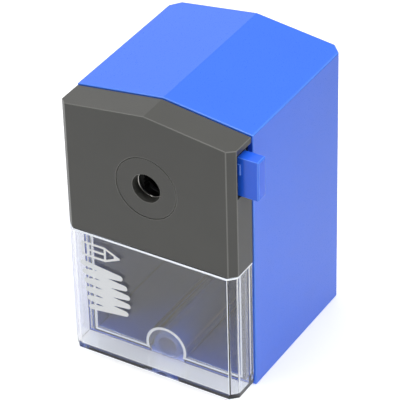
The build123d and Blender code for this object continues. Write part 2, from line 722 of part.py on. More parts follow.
with BuildPart() as rod_clips:
    for side in (-1, 1):
        with BuildSketch(along(side * ROD_X, CLIP_Y + SEAT, AXIS_Z)):
            Circle(CLIP_R)
            Circle(ROD_R - 0.4 + SEAT, mode=Mode.SUBTRACT)
            with Locations((0, -CLIP_R / 2 - 0.5)):
                Rectangle(2 * (ROD_R - 0.4), CLIP_R + 1.0, mode=Mode.SUBTRACT)
        extrude(amount=CLIP_THICK - 2 * SEAT)
save(rod_clips.part, "rod_clips")

for name, side in (("left", -1), ("right", 1)):
    with BuildPart() as feed_spring:
        spring(
            (side * ROD_X, SLEEVE_END + 0.1 + FEED_WIRE_R, AXIS_Z),
            (0, 1, 0),
            CLIP_Y - SLEEVE_END - 0.2,
            FEED_COIL_R,
            FEED_WIRE_R,
            FEED_TURNS,
        )
    save(feed_spring.part, f"feed_spring_{name}")

# ---------------------------------------------------------------- pencil clamp
with BuildPart() as push_button:
    # finger pad
    with BuildSketch(Plane.XY.offset(button_z)):
        with Locations(((BEZEL_HALF - BUTTON_ROOT + button_x) / 2, button_front + BUTTON_DEPTH / 2)):
            Rectangle(button_x - BEZEL_HALF + BUTTON_ROOT, BUTTON_DEPTH)
    extrude(amount=BUTTON_HEIGHT)
    chamfer(push_button.faces().sort_by(Axis.X)[-1].edges(), BUTTON_BREAK)
    # bar over the pencil's line, limb down the left side and rack teeth under the bar
    with BuildSketch(upright(JAW_FRONT)):
        with Locations(((BEZEL_HALF - LIMB_END) / 2, AXIS_Z + BAR_LIFT + BAR_HEIGHT / 2)):
            Rectangle(BEZEL_HALF + LIMB_END, BAR_HEIGHT)
        with Locations((-(LIMB_END + JAW_END) / 2, AXIS_Z + (BAR_LIFT - JAW_DROP) / 2)):
            Rectangle(LIMB_END - JAW_END, BAR_LIFT + JAW_DROP)
        rack_teeth(AXIS_Z + RACK_LINE, -1, 5.0, 18.5)
    extrude(amount=-JAW_DEPTH)
    # spigot that centres the spring
    with BuildSketch(Plane(origin=(-LIMB_END, mid_jaw, spring_z), z_dir=(-1, 0, 0))):
        Circle(SPIGOT_R)
    extrude(amount=SPIGOT)
save(push_button.part, "push_button")


def jaw(side):
    """Jaw with a toothed edge towards the pencil, on the left (-1) or right (1) of its line."""
    with BuildSketch(upright(JAW_FRONT)) as profile:
        with Locations((side * (JAW_GAP + JAW_END) / 2, AXIS_Z)):
            Rectangle(JAW_END - JAW_GAP, JAW_HEIGHT)
        for step in range(-2, 3):
            with Locations((side * JAW_GAP, AXIS_Z + JAW_TOOTH_PITCH * step)):
                Rectangle(JAW_TOOTH, JAW_TOOTH, rotation=45, mode=Mode.SUBTRACT)
    extrude(profile.sketch, amount=-JAW_DEPTH)


with BuildPart() as left_jaw:
    jaw(-1)
save(left_jaw.part, "left_jaw")

with BuildPart() as right_jaw:
    jaw(1)
save(right_jaw.part, "right_jaw")

with BuildPart() as jaw_slide:
    with BuildSketch(upright(JAW_FRONT)):
        rack_foot = LOWER_LINE - RACK_ROOT
        rack_end = JAW_END - 4.0
        with Locations(((JAW_END + SLIDE_END) / 2, AXIS_Z + (rack_foot - JAW_DROP) / 2)):
            Rectangle(SLIDE_END - JAW_END, rack_foot + JAW_DROP)
        with Locations(((rack_end + SLIDE_END) / 2, AXIS_Z + rack_foot - 0.3)):
            Rectangle(SLIDE_END - rack_end, 0.6)
        rack_teeth(AXIS_Z + LOWER_LINE, 1, rack_end + 0.2, SLIDE_END)
    extrude(amount=-JAW_DEPTH)
save(jaw_slide.part, "jaw_slide")

with BuildPart() as jaw_pinion:
    with BuildSketch(upright(JAW_FRONT)):
        with Locations((PINION_X, PINION_Z)):
            with BuildSketch(mode=Mode.PRIVATE) as wheel:
                gear_outline(
                    PINION_TEETH,
                    PINION_MODULE,
                    PINION_PITCH_R - 1.25 * PINION_MODULE,
                    PINION_PITCH_R + 0.85 * PINION_MODULE,
                    PINION_BACKLASH,
                )
            add(wheel.sketch)
            Circle(PINION_PIN_R + RUNNING, mode=Mode.SUBTRACT)
    extrude(amount=-JAW_DEPTH)
save(jaw_pinion.part, "jaw_pinion")

with BuildPart() as button_spring:
    spring(
        (wall_seat + SEAT + BUTTON_WIRE_R, mid_jaw, spring_z),
        (1, 0, 0),
        -LIMB_END - wall_seat - 2 * SEAT,
        BUTTON_COIL_R,
        BUTTON_WIRE_R,
        BUTTON_TURNS,
    )
save(button_spring.part, "button_spring")

# ---------------------------------------------------------------- cutter, its carrier and the crank
with BuildPart() as cutter_carrier:
    # nose that the pencil goes through, front web, trough under the pencil, tail and shaft
    disc(along(0, FRONT + 0.5, AXIS_Z), NOSE_R, NOSE_REACH)
    disc(along(0, WEB_FRONT, AXIS_Z), WEB_R, WEB_THICK)
    disc(along(0, WEB_FRONT, AXIS_Z), TROUGH_R, TAIL_BACK - WEB_FRONT)
    disc(along(0, TAIL_BACK, AXIS_Z), SHAFT_R, SHAFT_END - TAIL_BACK)
    # open the side that the cutter works from
    with BuildSketch(upright(WEB_BACK)):
        with Locations((0, AXIS_Z + TROUGH_R - 0.5)):
            Rectangle(2 * WEB_R, 2 * TROUGH_R)
    extrude(amount=-(TAIL_FRONT - WEB_BACK), mode=Mode.SUBTRACT)
    with BuildSketch(upright(RING_BACK - RING_WIDTH - 1.0)):
        with Locations((0, AXIS_Z - 4.1 + WEB_R)):
            Rectangle(2 * WEB_R, 2 * WEB_R)
    extrude(amount=-(TAIL_FRONT - RING_BACK + RING_WIDTH + 1.0), mode=Mode.SUBTRACT)
    # room for the cutter along its leaning axis
    disc(cutter_plane(WEB_BACK), CUTTER_R + CUTTER_ROOM, TAIL_FRONT - WEB_BACK, mode=Mode.SUBTRACT)
    # pencil bore, then the cone that holds its point
    disc(along(0, FRONT, AXIS_Z), NOSE_BORE, CUT_START, mode=Mode.SUBTRACT)
    with BuildSketch(Plane.YZ):
        with BuildLine():
            Polyline(
                (FRONT + CUT_START - 0.01, AXIS_Z),
                (FRONT + CUT_START - 0.01, AXIS_Z + NOSE_BORE),
                (CONE_TIP, AXIS_Z + 0.6),
                (CONE_TIP, AXIS_Z),
                close=True,
            )
        make_face()
    revolve(axis=Axis((0, 0, AXIS_Z), (0, 1, 0)), mode=Mode.SUBTRACT)
    # pivots of the cutter's pins in the web and the tail
    disc(cutter_plane(WEB_FRONT - 1.0), CUTTER_PIN_R + RUNNING, WEB_THICK + 2.0, mode=Mode.SUBTRACT)
    disc(cutter_plane(TAIL_FRONT - 1.0), CUTTER_PIN_R + RUNNING, 3.4, mode=Mode.SUBTRACT)
    # flat on the shaft and the thread hole of the crank's screw
    with BuildSketch(upright(HUB_FRONT)):
        with Locations((0, AXIS_Z + SHAFT_R)):
            Rectangle(2 * SHAFT_R, 2 * SHAFT_FLAT)
    extrude(amount=-(SHAFT_END - HUB_FRONT), mode=Mode.SUBTRACT)
    disc(along(0, SHAFT_END - 8.0, AXIS_Z), SCREW_R + SEAT, 8.0, mode=Mode.SUBTRACT)
save(cutter_carrier.part, "cutter_carrier")

cutter_start = WEB_BACK + 2.4
cutter_length = (CONE_TIP + 2.5 - cutter_start) / cos(LEAN)
with BuildPart() as helical_cutter:
    with BuildSketch(Plane.XY, mode=Mode.PRIVATE) as blade_section:
        pitch_angle = 2 * pi / CUTTER_TEETH
        root_r = CUTTER_R - CUTTER_TOOTH
        blade_points = []
        for blade in range(CUTTER_TEETH):
            a = blade * pitch_angle
            blade_points += [
                (CUTTER_R * cos(a), CUTTER_R * sin(a)),
                (CUTTER_R * cos(a + 0.22 * pitch_angle), CUTTER_R * sin(a + 0.22 * pitch_angle)),
                (root_r * cos(a + 0.8 * pitch_angle), root_r * sin(a + 0.8 * pitch_angle)),
            ]
        with BuildLine():
            Polyline(*blade_points, close=True)
        make_face()
    twisted = Solid.extrude_linear_with_rotation(
        blade_section.sketch.face(), (0, 0, 0), (0, 0, cutter_length), CUTTER_TWIST
    )
    add(cutter_plane(cutter_start).location * twisted)
    disc(cutter_plane(WEB_FRONT), CUTTER_PIN_R, (TAIL_FRONT + 2.0 - WEB_FRONT) / cos(LEAN))
    disc(cutter_plane(cutter_start - 0.8), CUTTER_PIN_R + 1.4, 0.9)
save(helical_cutter.part, "helical_cutter")

with BuildPart() as planet_gear:
    with BuildSketch(cutter_plane(GEAR_Y)):
        pitch_r = GEAR_MODULE * PLANET_TEETH / 2
        root_r, tip_r = pitch_r - PLANET_TOOTH_IN, pitch_r + PLANET_TOOTH_OUT
        gear_outline(PLANET_TEETH, GEAR_MODULE, root_r, tip_r, GEAR_BACKLASH)
        Circle(CUTTER_PIN_R + SEAT, mode=Mode.SUBTRACT)
    extrude(amount=GEAR_WIDTH / 2, both=True)
save(planet_gear.part, "planet_gear")

with BuildPart() as crank_hub:
    disc(along(0, HUB_FRONT, AXIS_Z), CRANK_HUB_R, CRANK_HUB - ARM_THICK)
    with BuildSketch(upright(HUB_FRONT)):
        with Locations((0, AXIS_Z)):
            Circle(SHAFT_R + SEAT)
        with Locations((0, AXIS_Z + SHAFT_R + SEAT)):
            Rectangle(3 * SHAFT_R, 2 * SHAFT_FLAT, mode=Mode.SUBTRACT)
    extrude(amount=-CRANK_HUB, mode=Mode.SUBTRACT)
save(crank_hub.part, "crank_hub")

with BuildPart() as crank_arm:
    with BuildSketch(upright(ARM_FRONT)):
        with Locations((0, AXIS_Z - CRANK_THROW / 2)):
            SlotCenterToCenter(CRANK_THROW, ARM_WIDTH, rotation=90)
        with Locations((0, AXIS_Z)):
            Circle(CRANK_HUB_R)
        with Locations((0, AXIS_Z)):
            Circle(SCREW_R + SCREW_EASE, mode=Mode.SUBTRACT)
        with Locations((0, AXIS_Z - CRANK_THROW)):
            Circle(KNOB_PIN_R + SEAT, mode=Mode.SUBTRACT)
    extrude(amount=-ARM_THICK)
    chamfer(crank_arm.faces().sort_by(Axis.Y)[-1].outer_wire().edges(), 0.4)
save(crank_arm.part, "crank_arm")

with BuildPart() as crank_screw:
    disc(along(0, HUB_BACK - SCREW_LENGTH, AXIS_Z), SCREW_R, SCREW_LENGTH)
    disc(along(0, HUB_BACK, AXIS_Z), SCREW_HEAD_R + 1.2, SCREW_HEAD)
    with BuildSketch(along(0, HUB_BACK + SCREW_HEAD, AXIS_Z)):
        Rectangle(2 * SCREW_HEAD_R, 2 * CROSS_SLOT)
        Rectangle(2 * CROSS_SLOT, 2 * SCREW_HEAD_R)
    extrude(amount=-SCREW_HEAD / 2, mode=Mode.SUBTRACT)
save(crank_screw.part, "crank_screw")

knob_z = AXIS_Z - CRANK_THROW
with BuildPart() as knob_pin:
    disc(along(0, ARM_FRONT - 0.8, knob_z), PIN_HEAD_R, 0.8)
    disc(along(0, ARM_FRONT, knob_z), KNOB_PIN_R, KNOB_FRONT + KNOB_LENGTH - KNOB_POCKET - ARM_FRONT)
    disc(along(0, KNOB_FRONT + KNOB_LENGTH - KNOB_POCKET, knob_z), PIN_HEAD_R, PIN_HEAD)
save(knob_pin.part, "knob_pin")

with BuildPart() as crank_knob:
    # turned handle: a waisted grip about the pin, open at the arm and at the end for the pin's head
    with BuildSketch(Plane.YZ):
        knob_end = KNOB_FRONT + KNOB_LENGTH
        with BuildLine():
            Line((KNOB_FRONT, knob_z), (KNOB_FRONT, knob_z + KNOB_NECK_R))
            Spline(
                (KNOB_FRONT, knob_z + KNOB_NECK_R),
                (KNOB_FRONT + 0.35 * KNOB_LENGTH, knob_z + KNOB_R - 0.9),
                (KNOB_FRONT + 0.75 * KNOB_LENGTH, knob_z + KNOB_R),
                (knob_end, knob_z + KNOB_R - KNOB_SHOULDER),
                tangents=((1, 0.5), (1, -2.2)),
            )
            Line((knob_end, knob_z + KNOB_R - KNOB_SHOULDER), (knob_end, knob_z))
            Line((knob_end, knob_z), (KNOB_FRONT, knob_z))
        make_face()
    revolve(axis=Axis((0, 0, knob_z), (0, 1, 0)))
    disc(along(0, KNOB_FRONT, knob_z), KNOB_PIN_R + RUNNING, KNOB_LENGTH, mode=Mode.SUBTRACT)
    disc(
        along(0, knob_end - KNOB_POCKET - RUNNING, knob_z),
        PIN_HEAD_R + PIN_HEAD_GAP,
        KNOB_POCKET + 2 * RUNNING,
        mode=Mode.SUBTRACT,
    )
save(crank_knob.part, "crank_knob")

# ---------------------------------------------------------------- shavings drawer
with BuildPart() as drawer:
    # front tray: a front wall with chamfered corners, a floor, and side skirts back to the housing's rim
    with BuildSketch(Plane.XY.offset(DRAWER_Z)):
        with BuildLine():
            Polyline(
                (-DRAWER_HALF, BEZEL_BACK),
                (-DRAWER_HALF, DRAWER_FACE + FRONT_CHAMFER),
                (-DRAWER_HALF + FRONT_CHAMFER, DRAWER_FACE),
                (DRAWER_HALF - FRONT_CHAMFER, DRAWER_FACE),
                (DRAWER_HALF, DRAWER_FACE + FRONT_CHAMFER),
                (DRAWER_HALF, BEZEL_BACK),
                close=True,
            )
        make_face()
    extrude(amount=DRAWER_TOP - DRAWER_Z)
    with BuildSketch(Plane.XY.offset(DRAWER_Z + TRAY_FLOOR)):
        tray_half = DRAWER_HALF - TRAY_SKIRT
        inner_chamfer = FRONT_CHAMFER - 0.4 * DRAWER_WALL
        with BuildLine():
            Polyline(
                (-tray_half, BEZEL_BACK + CUT_PAST),
                (-tray_half, DRAWER_FACE + DRAWER_WALL + inner_chamfer),
                (-tray_half + inner_chamfer, DRAWER_FACE + DRAWER_WALL),
                (tray_half - inner_chamfer, DRAWER_FACE + DRAWER_WALL),
                (tray_half, DRAWER_FACE + DRAWER_WALL + inner_chamfer),
                (tray_half, BEZEL_BACK + CUT_PAST),
                close=True,
            )
        make_face()
    extrude(amount=DRAWER_TOP - DRAWER_Z, mode=Mode.SUBTRACT)
    # flange across the tray, then the box with its floor above the housing's
    with BuildSketch(upright(STEP_FRONT)):
        flange_z = DRAWER_Z + FLANGE_RISE
        with Locations((0, (flange_z + DRAWER_TOP) / 2)):
            Rectangle(2 * (DRAWER_HALF - FLANGE_IN), DRAWER_TOP - flange_z)
    extrude(amount=-FLANGE_THICK)
    box_top = DRAWER_TOP - BOX_RIM_DROP
    with BuildSketch(upright(STEP_FRONT)):
        with Locations((0, (BOX_FLOOR + box_top) / 2)):
            Rectangle(2 * BOX_OUTER, box_top - BOX_FLOOR)
    extrude(amount=-(BOX_TAIL - STEP_FRONT))
    with BuildSketch(upright(STEP_FRONT - CUT_PAST)):
        inside_z = BOX_FLOOR + BOX_WALL
        with Locations((0, (inside_z + DRAWER_TOP + CUT_PAST) / 2)):
            Rectangle(2 * BOX_INNER, DRAWER_TOP + CUT_PAST - inside_z)
        with Locations((0, TUNNEL_Z)):
            Circle(TUNNEL_R + TUNNEL_WALL, mode=Mode.SUBTRACT)
    extrude(amount=-(BOX_TAIL - BOX_WALL - STEP_FRONT + CUT_PAST), mode=Mode.SUBTRACT)
    # tunnel over the clamp socket, closed in front of the tube's mouth
    with BuildSketch(upright(STEP_FRONT + TUNNEL_END)):
        with Locations((0, TUNNEL_Z)):
            Circle(TUNNEL_R)
        with Locations((0, TUNNEL_Z / 2)):
            Rectangle(2 * TUNNEL_R, TUNNEL_Z)
    extrude(amount=-(BOX_TAIL - STEP_FRONT), mode=Mode.SUBTRACT)
save(drawer.part, "drawer")
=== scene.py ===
"""Desk pencil sharpener: the looks of its pieces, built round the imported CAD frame.

Every length is in metres unless a name says mm. +Z is up, the pencil goes in from the front (-Y), and the
crank is at the back (+Y). The housing, front carriage, pencil clamp, cutter, crank and drawer are each one
class, which takes its places from the CAD nodes' own boxes.
"""

from __future__ import annotations

import json
import logging
from dataclasses import dataclass
from enum import Enum
from math import cos, pi, radians, sin

import bmesh
import bpy
import numpy as np
from mathutils import Matrix, Vector

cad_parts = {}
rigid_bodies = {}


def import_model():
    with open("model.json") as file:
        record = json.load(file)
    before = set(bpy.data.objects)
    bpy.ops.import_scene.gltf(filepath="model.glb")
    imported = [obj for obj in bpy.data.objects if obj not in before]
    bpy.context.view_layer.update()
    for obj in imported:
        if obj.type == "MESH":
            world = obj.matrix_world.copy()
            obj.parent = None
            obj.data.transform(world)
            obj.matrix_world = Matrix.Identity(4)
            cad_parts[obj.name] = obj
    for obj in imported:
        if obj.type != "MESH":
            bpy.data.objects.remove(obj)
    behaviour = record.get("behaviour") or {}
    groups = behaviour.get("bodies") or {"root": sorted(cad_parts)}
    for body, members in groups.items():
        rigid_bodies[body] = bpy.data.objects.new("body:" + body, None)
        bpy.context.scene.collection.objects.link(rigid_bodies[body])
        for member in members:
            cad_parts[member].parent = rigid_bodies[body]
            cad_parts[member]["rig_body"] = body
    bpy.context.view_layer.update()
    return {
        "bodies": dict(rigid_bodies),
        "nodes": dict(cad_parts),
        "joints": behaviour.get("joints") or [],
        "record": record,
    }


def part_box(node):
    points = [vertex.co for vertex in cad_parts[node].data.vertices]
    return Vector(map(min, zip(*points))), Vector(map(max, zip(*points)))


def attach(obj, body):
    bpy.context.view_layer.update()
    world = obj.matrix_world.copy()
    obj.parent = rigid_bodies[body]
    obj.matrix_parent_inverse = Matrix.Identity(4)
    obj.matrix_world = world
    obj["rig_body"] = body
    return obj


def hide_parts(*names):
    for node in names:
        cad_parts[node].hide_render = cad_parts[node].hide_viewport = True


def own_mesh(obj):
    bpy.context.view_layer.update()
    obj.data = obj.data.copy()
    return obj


MM = 0.001
NOISE_LOW, NOISE_HIGH = 0.3, 0.7  # where most of a noise texture's values lie
PLASTIC_IOR = 1.53
POLYSTYRENE_IOR = 1.57
INK_IOR = 1.5
SHARP_ANGLE = radians(35)  # edges of new surfaces that turn more than this stay sharp
MERGE = 1e-7  # points of a new surface closer than this are one
CAD_MERGE = 2e-6  # the same for the CAD's triangles
FLAT_ANGLE = radians(0.4)  # triangles that turn less than this are one face
EDGE_ANGLE = radians(28)  # edges that turn more than this are rounded
EDGE_SEGMENTS = 3
WIRE_SIDES = 12
BEAD_SIDES = 12
TURN_STEPS = 36  # steps in each turn of a spring
MITRE_LEAST = 0.5  # cosine at which a mitre stops growing
log = logging.getLogger("sharpener")


# ---------------------------------------------------------------- colour and shader nodes
def linear(code: str) -> tuple[float, float, float, float]:
    """Turns an sRGB hex colour into linear light.

    Args:
        code: six hex digits, with or without a leading hash.

    Returns:
        Linear red, green, blue and an alpha of 1.
    """
    digits = code.lstrip("#")
    values = np.array([int(digits[i : i + 2], 16) for i in (0, 2, 4)]) / 255
    light = np.where(values <= 0.04045, values / 12.92, ((values + 0.055) / 1.055) ** 2.4)
    return (*light.tolist(), 1.0)


def add_node(
    tree: bpy.types.NodeTree, kind: str, settings: dict | None = None, inputs: dict | None = None
) -> bpy.types.Node:
    """Adds a shader node with its settings, constants and links.

    Args:
        tree: the node tree to add to.
        kind: the node's type name.
        settings: node properties by name.
        inputs: constants or output sockets to link, by input name or index.

    Returns:
        The new node.
    """
    made = tree.nodes.new(kind)
    for key, value in (settings or {}).items():
        setattr(made, key, value)
    for key, value in (inputs or {}).items():
        socket = made.inputs[key]
        if isinstance(value, bpy.types.NodeSocket):
            tree.links.new(value, socket)
        else:
            socket.default_value = value
    return made


def new_material(name: str) -> tuple[bpy.types.Material, bpy.types.NodeTree, bpy.types.Node]:
    """Starts a material with an empty tree.

    Args:
        name: the finish's name.

    Returns:
        The material, its node tree and its output node.
    """
    material = bpy.data.materials.new(name)
    material.use_nodes = True
    tree = material.node_tree
    tree.nodes.clear()
    return material, tree, add_node(tree, "ShaderNodeOutputMaterial")


def noise_of(
    tree: bpy.types.NodeTree,
    size_mm: float,
    detail: float = 2.0,
    stretch: tuple[float, float, float] = (1, 1, 1),
) -> bpy.types.Node:
    """Noise on Object coordinates.

    Args:
        tree: the node tree.
        size_mm: the size of one grain on the object.
        detail: octaves of the noise.
        stretch: scale along X, Y and Z; a small number draws the grain out along that axis.

    Returns:
        The noise node.
    """
    place = add_node(tree, "ShaderNodeTexCoord")
    drawn = add_node(tree, "ShaderNodeMapping", inputs={"Vector": place.outputs["Object"], "Scale": stretch})
    return add_node(
        tree,
        "ShaderNodeTexNoise",
        inputs={"Vector": drawn.outputs["Vector"], "Scale": 1 / (size_mm * MM), "Detail": detail},
    )


def ramp(
    tree: bpy.types.NodeTree, factor: bpy.types.NodeSocket, low: float, high: float
) -> bpy.types.NodeSocket:
    """Maps a 0 to 1 value onto low to high.

    Args:
        tree: the node tree.
        factor: the socket to map.
        low: value at the noise's low end.
        high: value at the noise's high end.

    Returns:
        The socket that carries the mapped value.
    """
    mapped = add_node(
        tree,
        "ShaderNodeMapRange",
        inputs={
            "Value": factor,
            "From Min": NOISE_LOW,
            "From Max": NOISE_HIGH,
            "To Min": low,
            "To Max": high,
        },
    )
    return mapped.outputs["Result"]


def two_tone(
    tree: bpy.types.NodeTree, factor: bpy.types.NodeSocket, first: str, second: str
) -> bpy.types.NodeSocket:
    """Mixes two sRGB colours by a factor.

    Args:
        tree: the node tree.
        factor: 0 shows the first colour, 1 the second.
        first: hex colour.
        second: hex colour.

    Returns:
        The mixed colour's socket.
    """
    mixed = add_node(tree, "ShaderNodeMix", {"data_type": "RGBA"}, {0: factor})
    mixed.inputs[6].default_value = linear(first)
    mixed.inputs[7].default_value = linear(second)
    return mixed.outputs[2]


# ---------------------------------------------------------------- finishes
@dataclass(frozen=True)
class MouldedPlastic:
    """Injection-moulded plastic. The eye sees an even colour, a fine spark-eroded grain in the gloss and
    broad, faint waves where the wall shrank on its ribs."""

    name: str
    colour: str
    shade: str
    roughness: float
    grain_mm: float = 0.28
    grain_depth: float = 0.10
    specular: float = 0.5
    gloss_change: float = 0.03
    cloud_mm: float = 14.0
    sink_mm: float = 22.0
    sink_strength: float = 0.06
    sink_depth_mm: float = 0.4
    grain_height_mm: float = 0.05

    def build(self) -> bpy.types.Material:
        """Returns the finish as a material."""
        material, tree, out = new_material(self.name)
        cloud = noise_of(tree, self.cloud_mm, detail=3.0)
        grain = noise_of(tree, self.grain_mm)
        sink = noise_of(tree, self.sink_mm, detail=1.0)
        waves = add_node(
            tree,
            "ShaderNodeBump",
            inputs={
                "Height": sink.outputs[0],
                "Strength": self.sink_strength,
                "Distance": self.sink_depth_mm * MM,
            },
        )
        texture = add_node(
            tree,
            "ShaderNodeBump",
            inputs={
                "Height": grain.outputs[0],
                "Strength": self.grain_depth,
                "Distance": self.grain_height_mm * MM,
                "Normal": waves.outputs[0],
            },
        )
        tone = two_tone(tree, cloud.outputs[0], self.colour, self.shade)
        gloss = ramp(
            tree, grain.outputs[0], self.roughness - self.gloss_change, self.roughness + self.gloss_change
        )
        shader = add_node(
            tree,
            "ShaderNodeBsdfPrincipled",
            inputs={
                "Base Color": tone,
                "Roughness": gloss,
                "IOR": PLASTIC_IOR,
                "Specular IOR Level": self.specular,
                "Normal": texture.outputs[0],
            },
        )
        tree.links.new(shader.outputs[0], out.inputs[0])
        return material


@dataclass(frozen=True)
class ClearPolystyrene:
    """Crystal-clear polystyrene, moulded in a polished tool. The eye sees a mirror-like gloss that grows
    towards grazing angles, a faint cool tint in the wall and faint wipe marks. Lamp rays pass straight, so
    that the inside is lit."""

    name: str
    tint: str
    through: str
    roughness: float = 0.012
    wipe_roughness: float = 0.012
    wipe_mm: float = 6.0

    def build(self) -> bpy.types.Material:
        """Returns the finish as a material."""
        material, tree, out = new_material(self.name)
        wipes = noise_of(tree, self.wipe_mm, detail=3.0, stretch=(1, 1, 0.5))
        gloss = ramp(tree, wipes.outputs[0], self.roughness, self.roughness + self.wipe_roughness)
        shader = add_node(
            tree,
            "ShaderNodeBsdfPrincipled",
            inputs={
                "Base Color": linear(self.tint),
                "Roughness": gloss,
                "IOR": POLYSTYRENE_IOR,
                "Transmission Weight": 1.0,
            },
        )
        through = add_node(tree, "ShaderNodeBsdfTransparent", inputs={"Color": linear(self.through)})
        ray = add_node(tree, "ShaderNodeLightPath")
        mixed = add_node(
            tree,
            "ShaderNodeMixShader",
            inputs={0: ray.outputs["Is Shadow Ray"], 1: shader.outputs[0], 2: through.outputs[0]},
        )
        tree.links.new(mixed.outputs[0], out.inputs[0])
        return material


@dataclass(frozen=True)
class PaintedEdgeGlow:
    """Painted highlight for beads along the rounded edges of clear polystyrene walls: a milky, near-white
    colour with painted emission, so that the eye sees a bright line although no lamp is there."""

    name: str = "clear_edge_painted_glow"
    colour: str = "#f3f6fb"
    shade: str = "#dfe5ee"
    cloud_mm: float = 3.0
    roughness: float = 0.25
    through: float = 0.2
    # emission strength of the painted highlight: the bead shines although it is no lamp
    painted_emission: float = 0.25

    def build(self) -> bpy.types.Material:
        """Returns the finish as a material."""
        material, tree, out = new_material(self.name)
        cloud = noise_of(tree, self.cloud_mm)
        shader = add_node(
            tree,
            "ShaderNodeBsdfPrincipled",
            inputs={
                "Base Color": two_tone(tree, cloud.outputs[0], self.colour, self.shade),
                "Roughness": self.roughness,
                "IOR": POLYSTYRENE_IOR,
                "Transmission Weight": self.through,
                "Emission Color": linear(self.colour),
                "Emission Strength": self.painted_emission,
            },
        )
        tree.links.new(shader.outputs[0], out.inputs[0])
        return material


@dataclass(frozen=True)
class BareMetal:
    """Steel as it comes from the rolling mill, the lathe or the plating bath. The eye sees fine streaks
    along the way it was worked, and small changes of gloss."""

    name: str
    colour: str
    roughness: float
    streak_mm: float = 0.2
    along: tuple[float, float, float] = (1.0, 0.06, 1.0)
    wear: float = 0.06
    blotch_mm: float = 5.0
    line_strength: float = 0.08
    line_depth_mm: float = 0.02

    def build(self) -> bpy.types.Material:
        """Returns the finish as a material."""
        material, tree, out = new_material(self.name)
        streaks = noise_of(tree, self.streak_mm, detail=3.0, stretch=self.along)
        blotch = noise_of(tree, self.blotch_mm)
        lines = add_node(
            tree,
            "ShaderNodeBump",
            inputs={
                "Height": streaks.outputs[0],
                "Strength": self.line_strength,
                "Distance": self.line_depth_mm * MM,
            },
        )
        gloss = ramp(tree, blotch.outputs[0], self.roughness - self.wear, self.roughness + self.wear)
        shader = add_node(
            tree,
            "ShaderNodeBsdfPrincipled",
            inputs={
                "Base Color": linear(self.colour),
                "Metallic": 1.0,
                "Roughness": gloss,
                "Normal": lines.outputs[0],
            },
        )
        tree.links.new(shader.outputs[0], out.inputs[0])
        return material


@dataclass(frozen=True)
class PrintInk:
    """Pad-printed opaque ink. The eye sees a flat satin layer with a few pinholes."""

    name: str = "white_ink"
    colour: str = "#eceef0"
    shade: str = "#dde0e5"
    pore_mm: float = 0.5
    roughness: float = 0.45

    def build(self) -> bpy.types.Material:
        """Returns the finish as a material."""
        material, tree, out = new_material(self.name)
        pores = noise_of(tree, self.pore_mm, detail=3.0)
        tone = two_tone(tree, pores.outputs[0], self.colour, self.shade)
        shader = add_node(
            tree,
            "ShaderNodeBsdfPrincipled",
            inputs={"Base Color": tone, "Roughness": self.roughness, "IOR": INK_IOR},
        )
        tree.links.new(shader.outputs[0], out.inputs[0])
        return material


class Finish(Enum):
    """The finishes on the sharpener, one for each way that a piece is made, and lighter or shining edge
    finishes that paint highlights.
    """

    BLUE_ABS = MouldedPlastic("blue_abs", "#286aeb", "#2566e6", 0.3)
    # lighter blue for the rounded edges: a painted highlight
    BLUE_EDGE_HIGHLIGHT = MouldedPlastic("blue_abs_painted_edge_highlight", "#4f86f2", "#477dec", 0.24)
    BUTTON_ABS = MouldedPlastic("button_abs", "#2664ea", "#235ee2", 0.22, grain_depth=0.03, specular=0.3)
    GREY_ABS = MouldedPlastic(
        "grey_abs", "#464643", "#40403d", 0.42, grain_mm=0.35, grain_depth=0.32, specular=0.4
    )
    # lighter grey for the rounded edges: a painted highlight
    GREY_EDGE_HIGHLIGHT = MouldedPlastic("grey_abs_painted_edge_highlight", "#6a6a66", "#62625f", 0.32, grain_depth=0.08)
    BLACK_NYLON = MouldedPlastic("black_nylon", "#232426", "#1d1e20", 0.5)
    ACETAL = MouldedPlastic("acetal", "#e9e8e2", "#e0dfd8", 0.38)
    RUBBER = MouldedPlastic("rubber", "#1d1d1e", "#232323", 0.75, grain_mm=0.4, specular=0.3)
    CLEAR = ClearPolystyrene("clear_polystyrene", "#eff0f3", "#f1f3f6")
    # shining beads that paint highlight lines on the clear drawer
    CLEAR_EDGE_PAINTED_GLOW = PaintedEdgeGlow()
    SHEET_STEEL = BareMetal("sheet_steel", "#b9bbbd", 0.34)
    PLATED_STEEL = BareMetal("nickel_plate", "#cfcdc8", 0.16, wear=0.04)
    TOOL_STEEL = BareMetal("ground_tool_steel", "#a7a8ab", 0.26, streak_mm=0.12)
    SPRING_WIRE = BareMetal("spring_wire", "#9c9da0", 0.3)
    WHITE_INK = PrintInk()


class Palette:
    """Builds each finish once and hands out its material."""

    def __init__(self) -> None:
        """Starts with no material made."""
        self._made: dict[Finish, bpy.types.Material] = {}

    def __getitem__(self, finish: Finish) -> bpy.types.Material:
        """Returns the finish's material, made the first time it is asked for."""
        if finish not in self._made:
            self._made[finish] = finish.value.build()
        return self._made[finish]


# ---------------------------------------------------------------- meshes
def link_piece(name: str, mesh: bpy.types.Mesh, material: bpy.types.Material) -> bpy.types.Object:
    """Makes an object of a mesh, with one material, at the origin.

    Args:
        name: the piece's name.
        mesh: its mesh, in place.
        material: its finish.

    Returns:
        The new object.
    """
    piece = bpy.data.objects.new(name, mesh)
    bpy.context.scene.collection.objects.link(piece)
    mesh.materials.clear()
    mesh.materials.append(material)
    log.info("%s: %d faces", name, len(mesh.polygons))
    return piece


